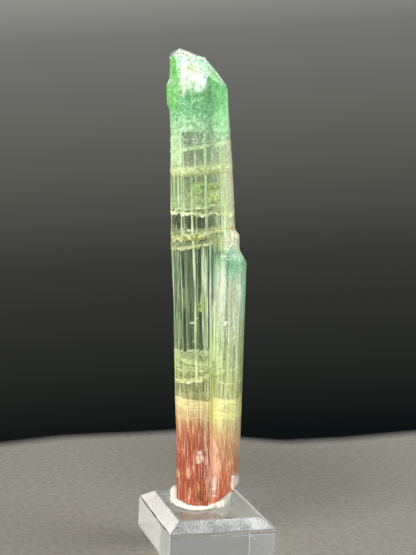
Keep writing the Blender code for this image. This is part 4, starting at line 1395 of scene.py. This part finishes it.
select_only()
bpy.ops.mesh.primitive_cube_add(size=1, location=(0, 0, SIDE_HEIGHT / 2 * MM))
acrylic_block = bpy.context.object
acrylic_block.name = "acrylic_block"
bpy.ops.transform.resize(value=(STAND_WIDTH * MM, STAND_DEPTH * MM, SIDE_HEIGHT * MM))
bpy.ops.object.transform_apply(location=True, rotation=True, scale=True)
edit_selected(acrylic_block, "FACE", lambda face: face.normal.z > 0.9)
extrude_up(BEVEL_DROP * MM)
bpy.ops.transform.resize(value=(1 - 2 * BEVEL_WIDTH / STAND_WIDTH, 1 - 2 * BEVEL_WIDTH / STAND_DEPTH, 1),
                         center_override=(0, 0, STAND_HEIGHT * MM))
edit_selected(acrylic_block, "EDGE", lambda edge: True)
bpy.ops.mesh.bevel(offset=BROKEN_EDGE * MM, segments=2, affect="EDGES")
edit_done()
for polygon in acrylic_block.data.polygons:
    wide = polygon.area > 20 * MM * MM
    polygon.material_index = CLEAR
    if wide and polygon.normal.x < -0.95:
        polygon.material_index = MILKY
    elif wide and 0.3 < polygon.normal.z < 0.95:
        polygon.material_index = PITTED if abs(polygon.normal.y) > 0.3 else FROSTED
print("block:", [round(c / MM, 2) for c in acrylic_block.dimensions], "mm")

# %% Acrylic materials
ACRYLIC_INDEX, FULLY_CLEAR = 1.49, 1.0


def acrylic_material(name, base, transmission, roughness_of, bump_distance, darkest=1.0, painted_light_across=None):
    """Acrylic whose roughness and bumps come from pits, or from scratches where it is clear."""
    material, tree, shader = new_material(name)
    spot = node(tree, "ShaderNodeTexCoord").outputs["Object"]
    plug(tree, shader, {"Base Color": (*rgb(base), 1), "Transmission Weight": transmission,
                        "IOR": ACRYLIC_INDEX})
    if transmission == FULLY_CLEAR:
        drawn_out = node(tree, "ShaderNodeMapping", {"Vector": spot, "Scale": (400, 2600, 2600)}).outputs[0]
        wear_and_glint = noise_of(tree, drawn_out, 1.0, 3.0, 0.6)
    else:
        wear_and_glint = noise_of(tree, spot, 3300.0, 4.0, 0.75)
        cloudy = plus(tree, times(tree, wear_and_glint, 0.55), times(tree, noise_of(tree, spot, 420.0, 2.0, 0.5), 0.45))
        grey = ramp(tree, cloudy, [(0.40, tuple(part * darkest for part in base)), (0.56, base)])
        # Painted light and shade: the colour is graded along the block's width, lighter towards the right end
        # of the front and back bevels and darker on the right bevel.
        sideways = node(tree, "ShaderNodeSeparateXYZ", {"Vector": spot}).outputs["X"]
        plug(tree, shader, {"Base Color": scaled(tree, grey, spread(tree, sideways, *painted_light_across))})
    plug(tree, shader, {"Roughness": spread(tree, wear_and_glint, *roughness_of),
                        "Normal": bump(tree, wear_and_glint, bump_distance, 1.0)})
    let_light_in(tree, shader, (96, 97, 96))
    return material


# In each finish that is not fully clear, the last pair of numbers grades its colour across the block: painted
# light and shade.
acrylic_finishes = [acrylic_material("acrylic_" + name, *values) for name, *values in (
    ("clear", (96, 97.5, 96.5), FULLY_CLEAR, (0.55, 0.75, 0.0, 0.05), 0.000004),
    ("pitted", (85, 90, 91.5), 0.6, (0.35, 0.6, 0.12, 0.5), 0.00008, 0.36, (-0.006, 0.008, 0.74, 1.25)),
    ("frosted", (99, 98, 93), 0.2, (0.35, 0.6, 0.2, 0.5), 0.00003, 0.82, (0.0, 0.009, 1.0, 0.8)),
    ("milky", (99, 99, 94), 0.62, (0.35, 0.6, 0.05, 0.12), 0.00001, 0.92, (0.0, 0.01, 1.0, 0.9)))]
finish_piece(acrylic_block, acrylic_finishes, "acrylic", "acrylic_stand")
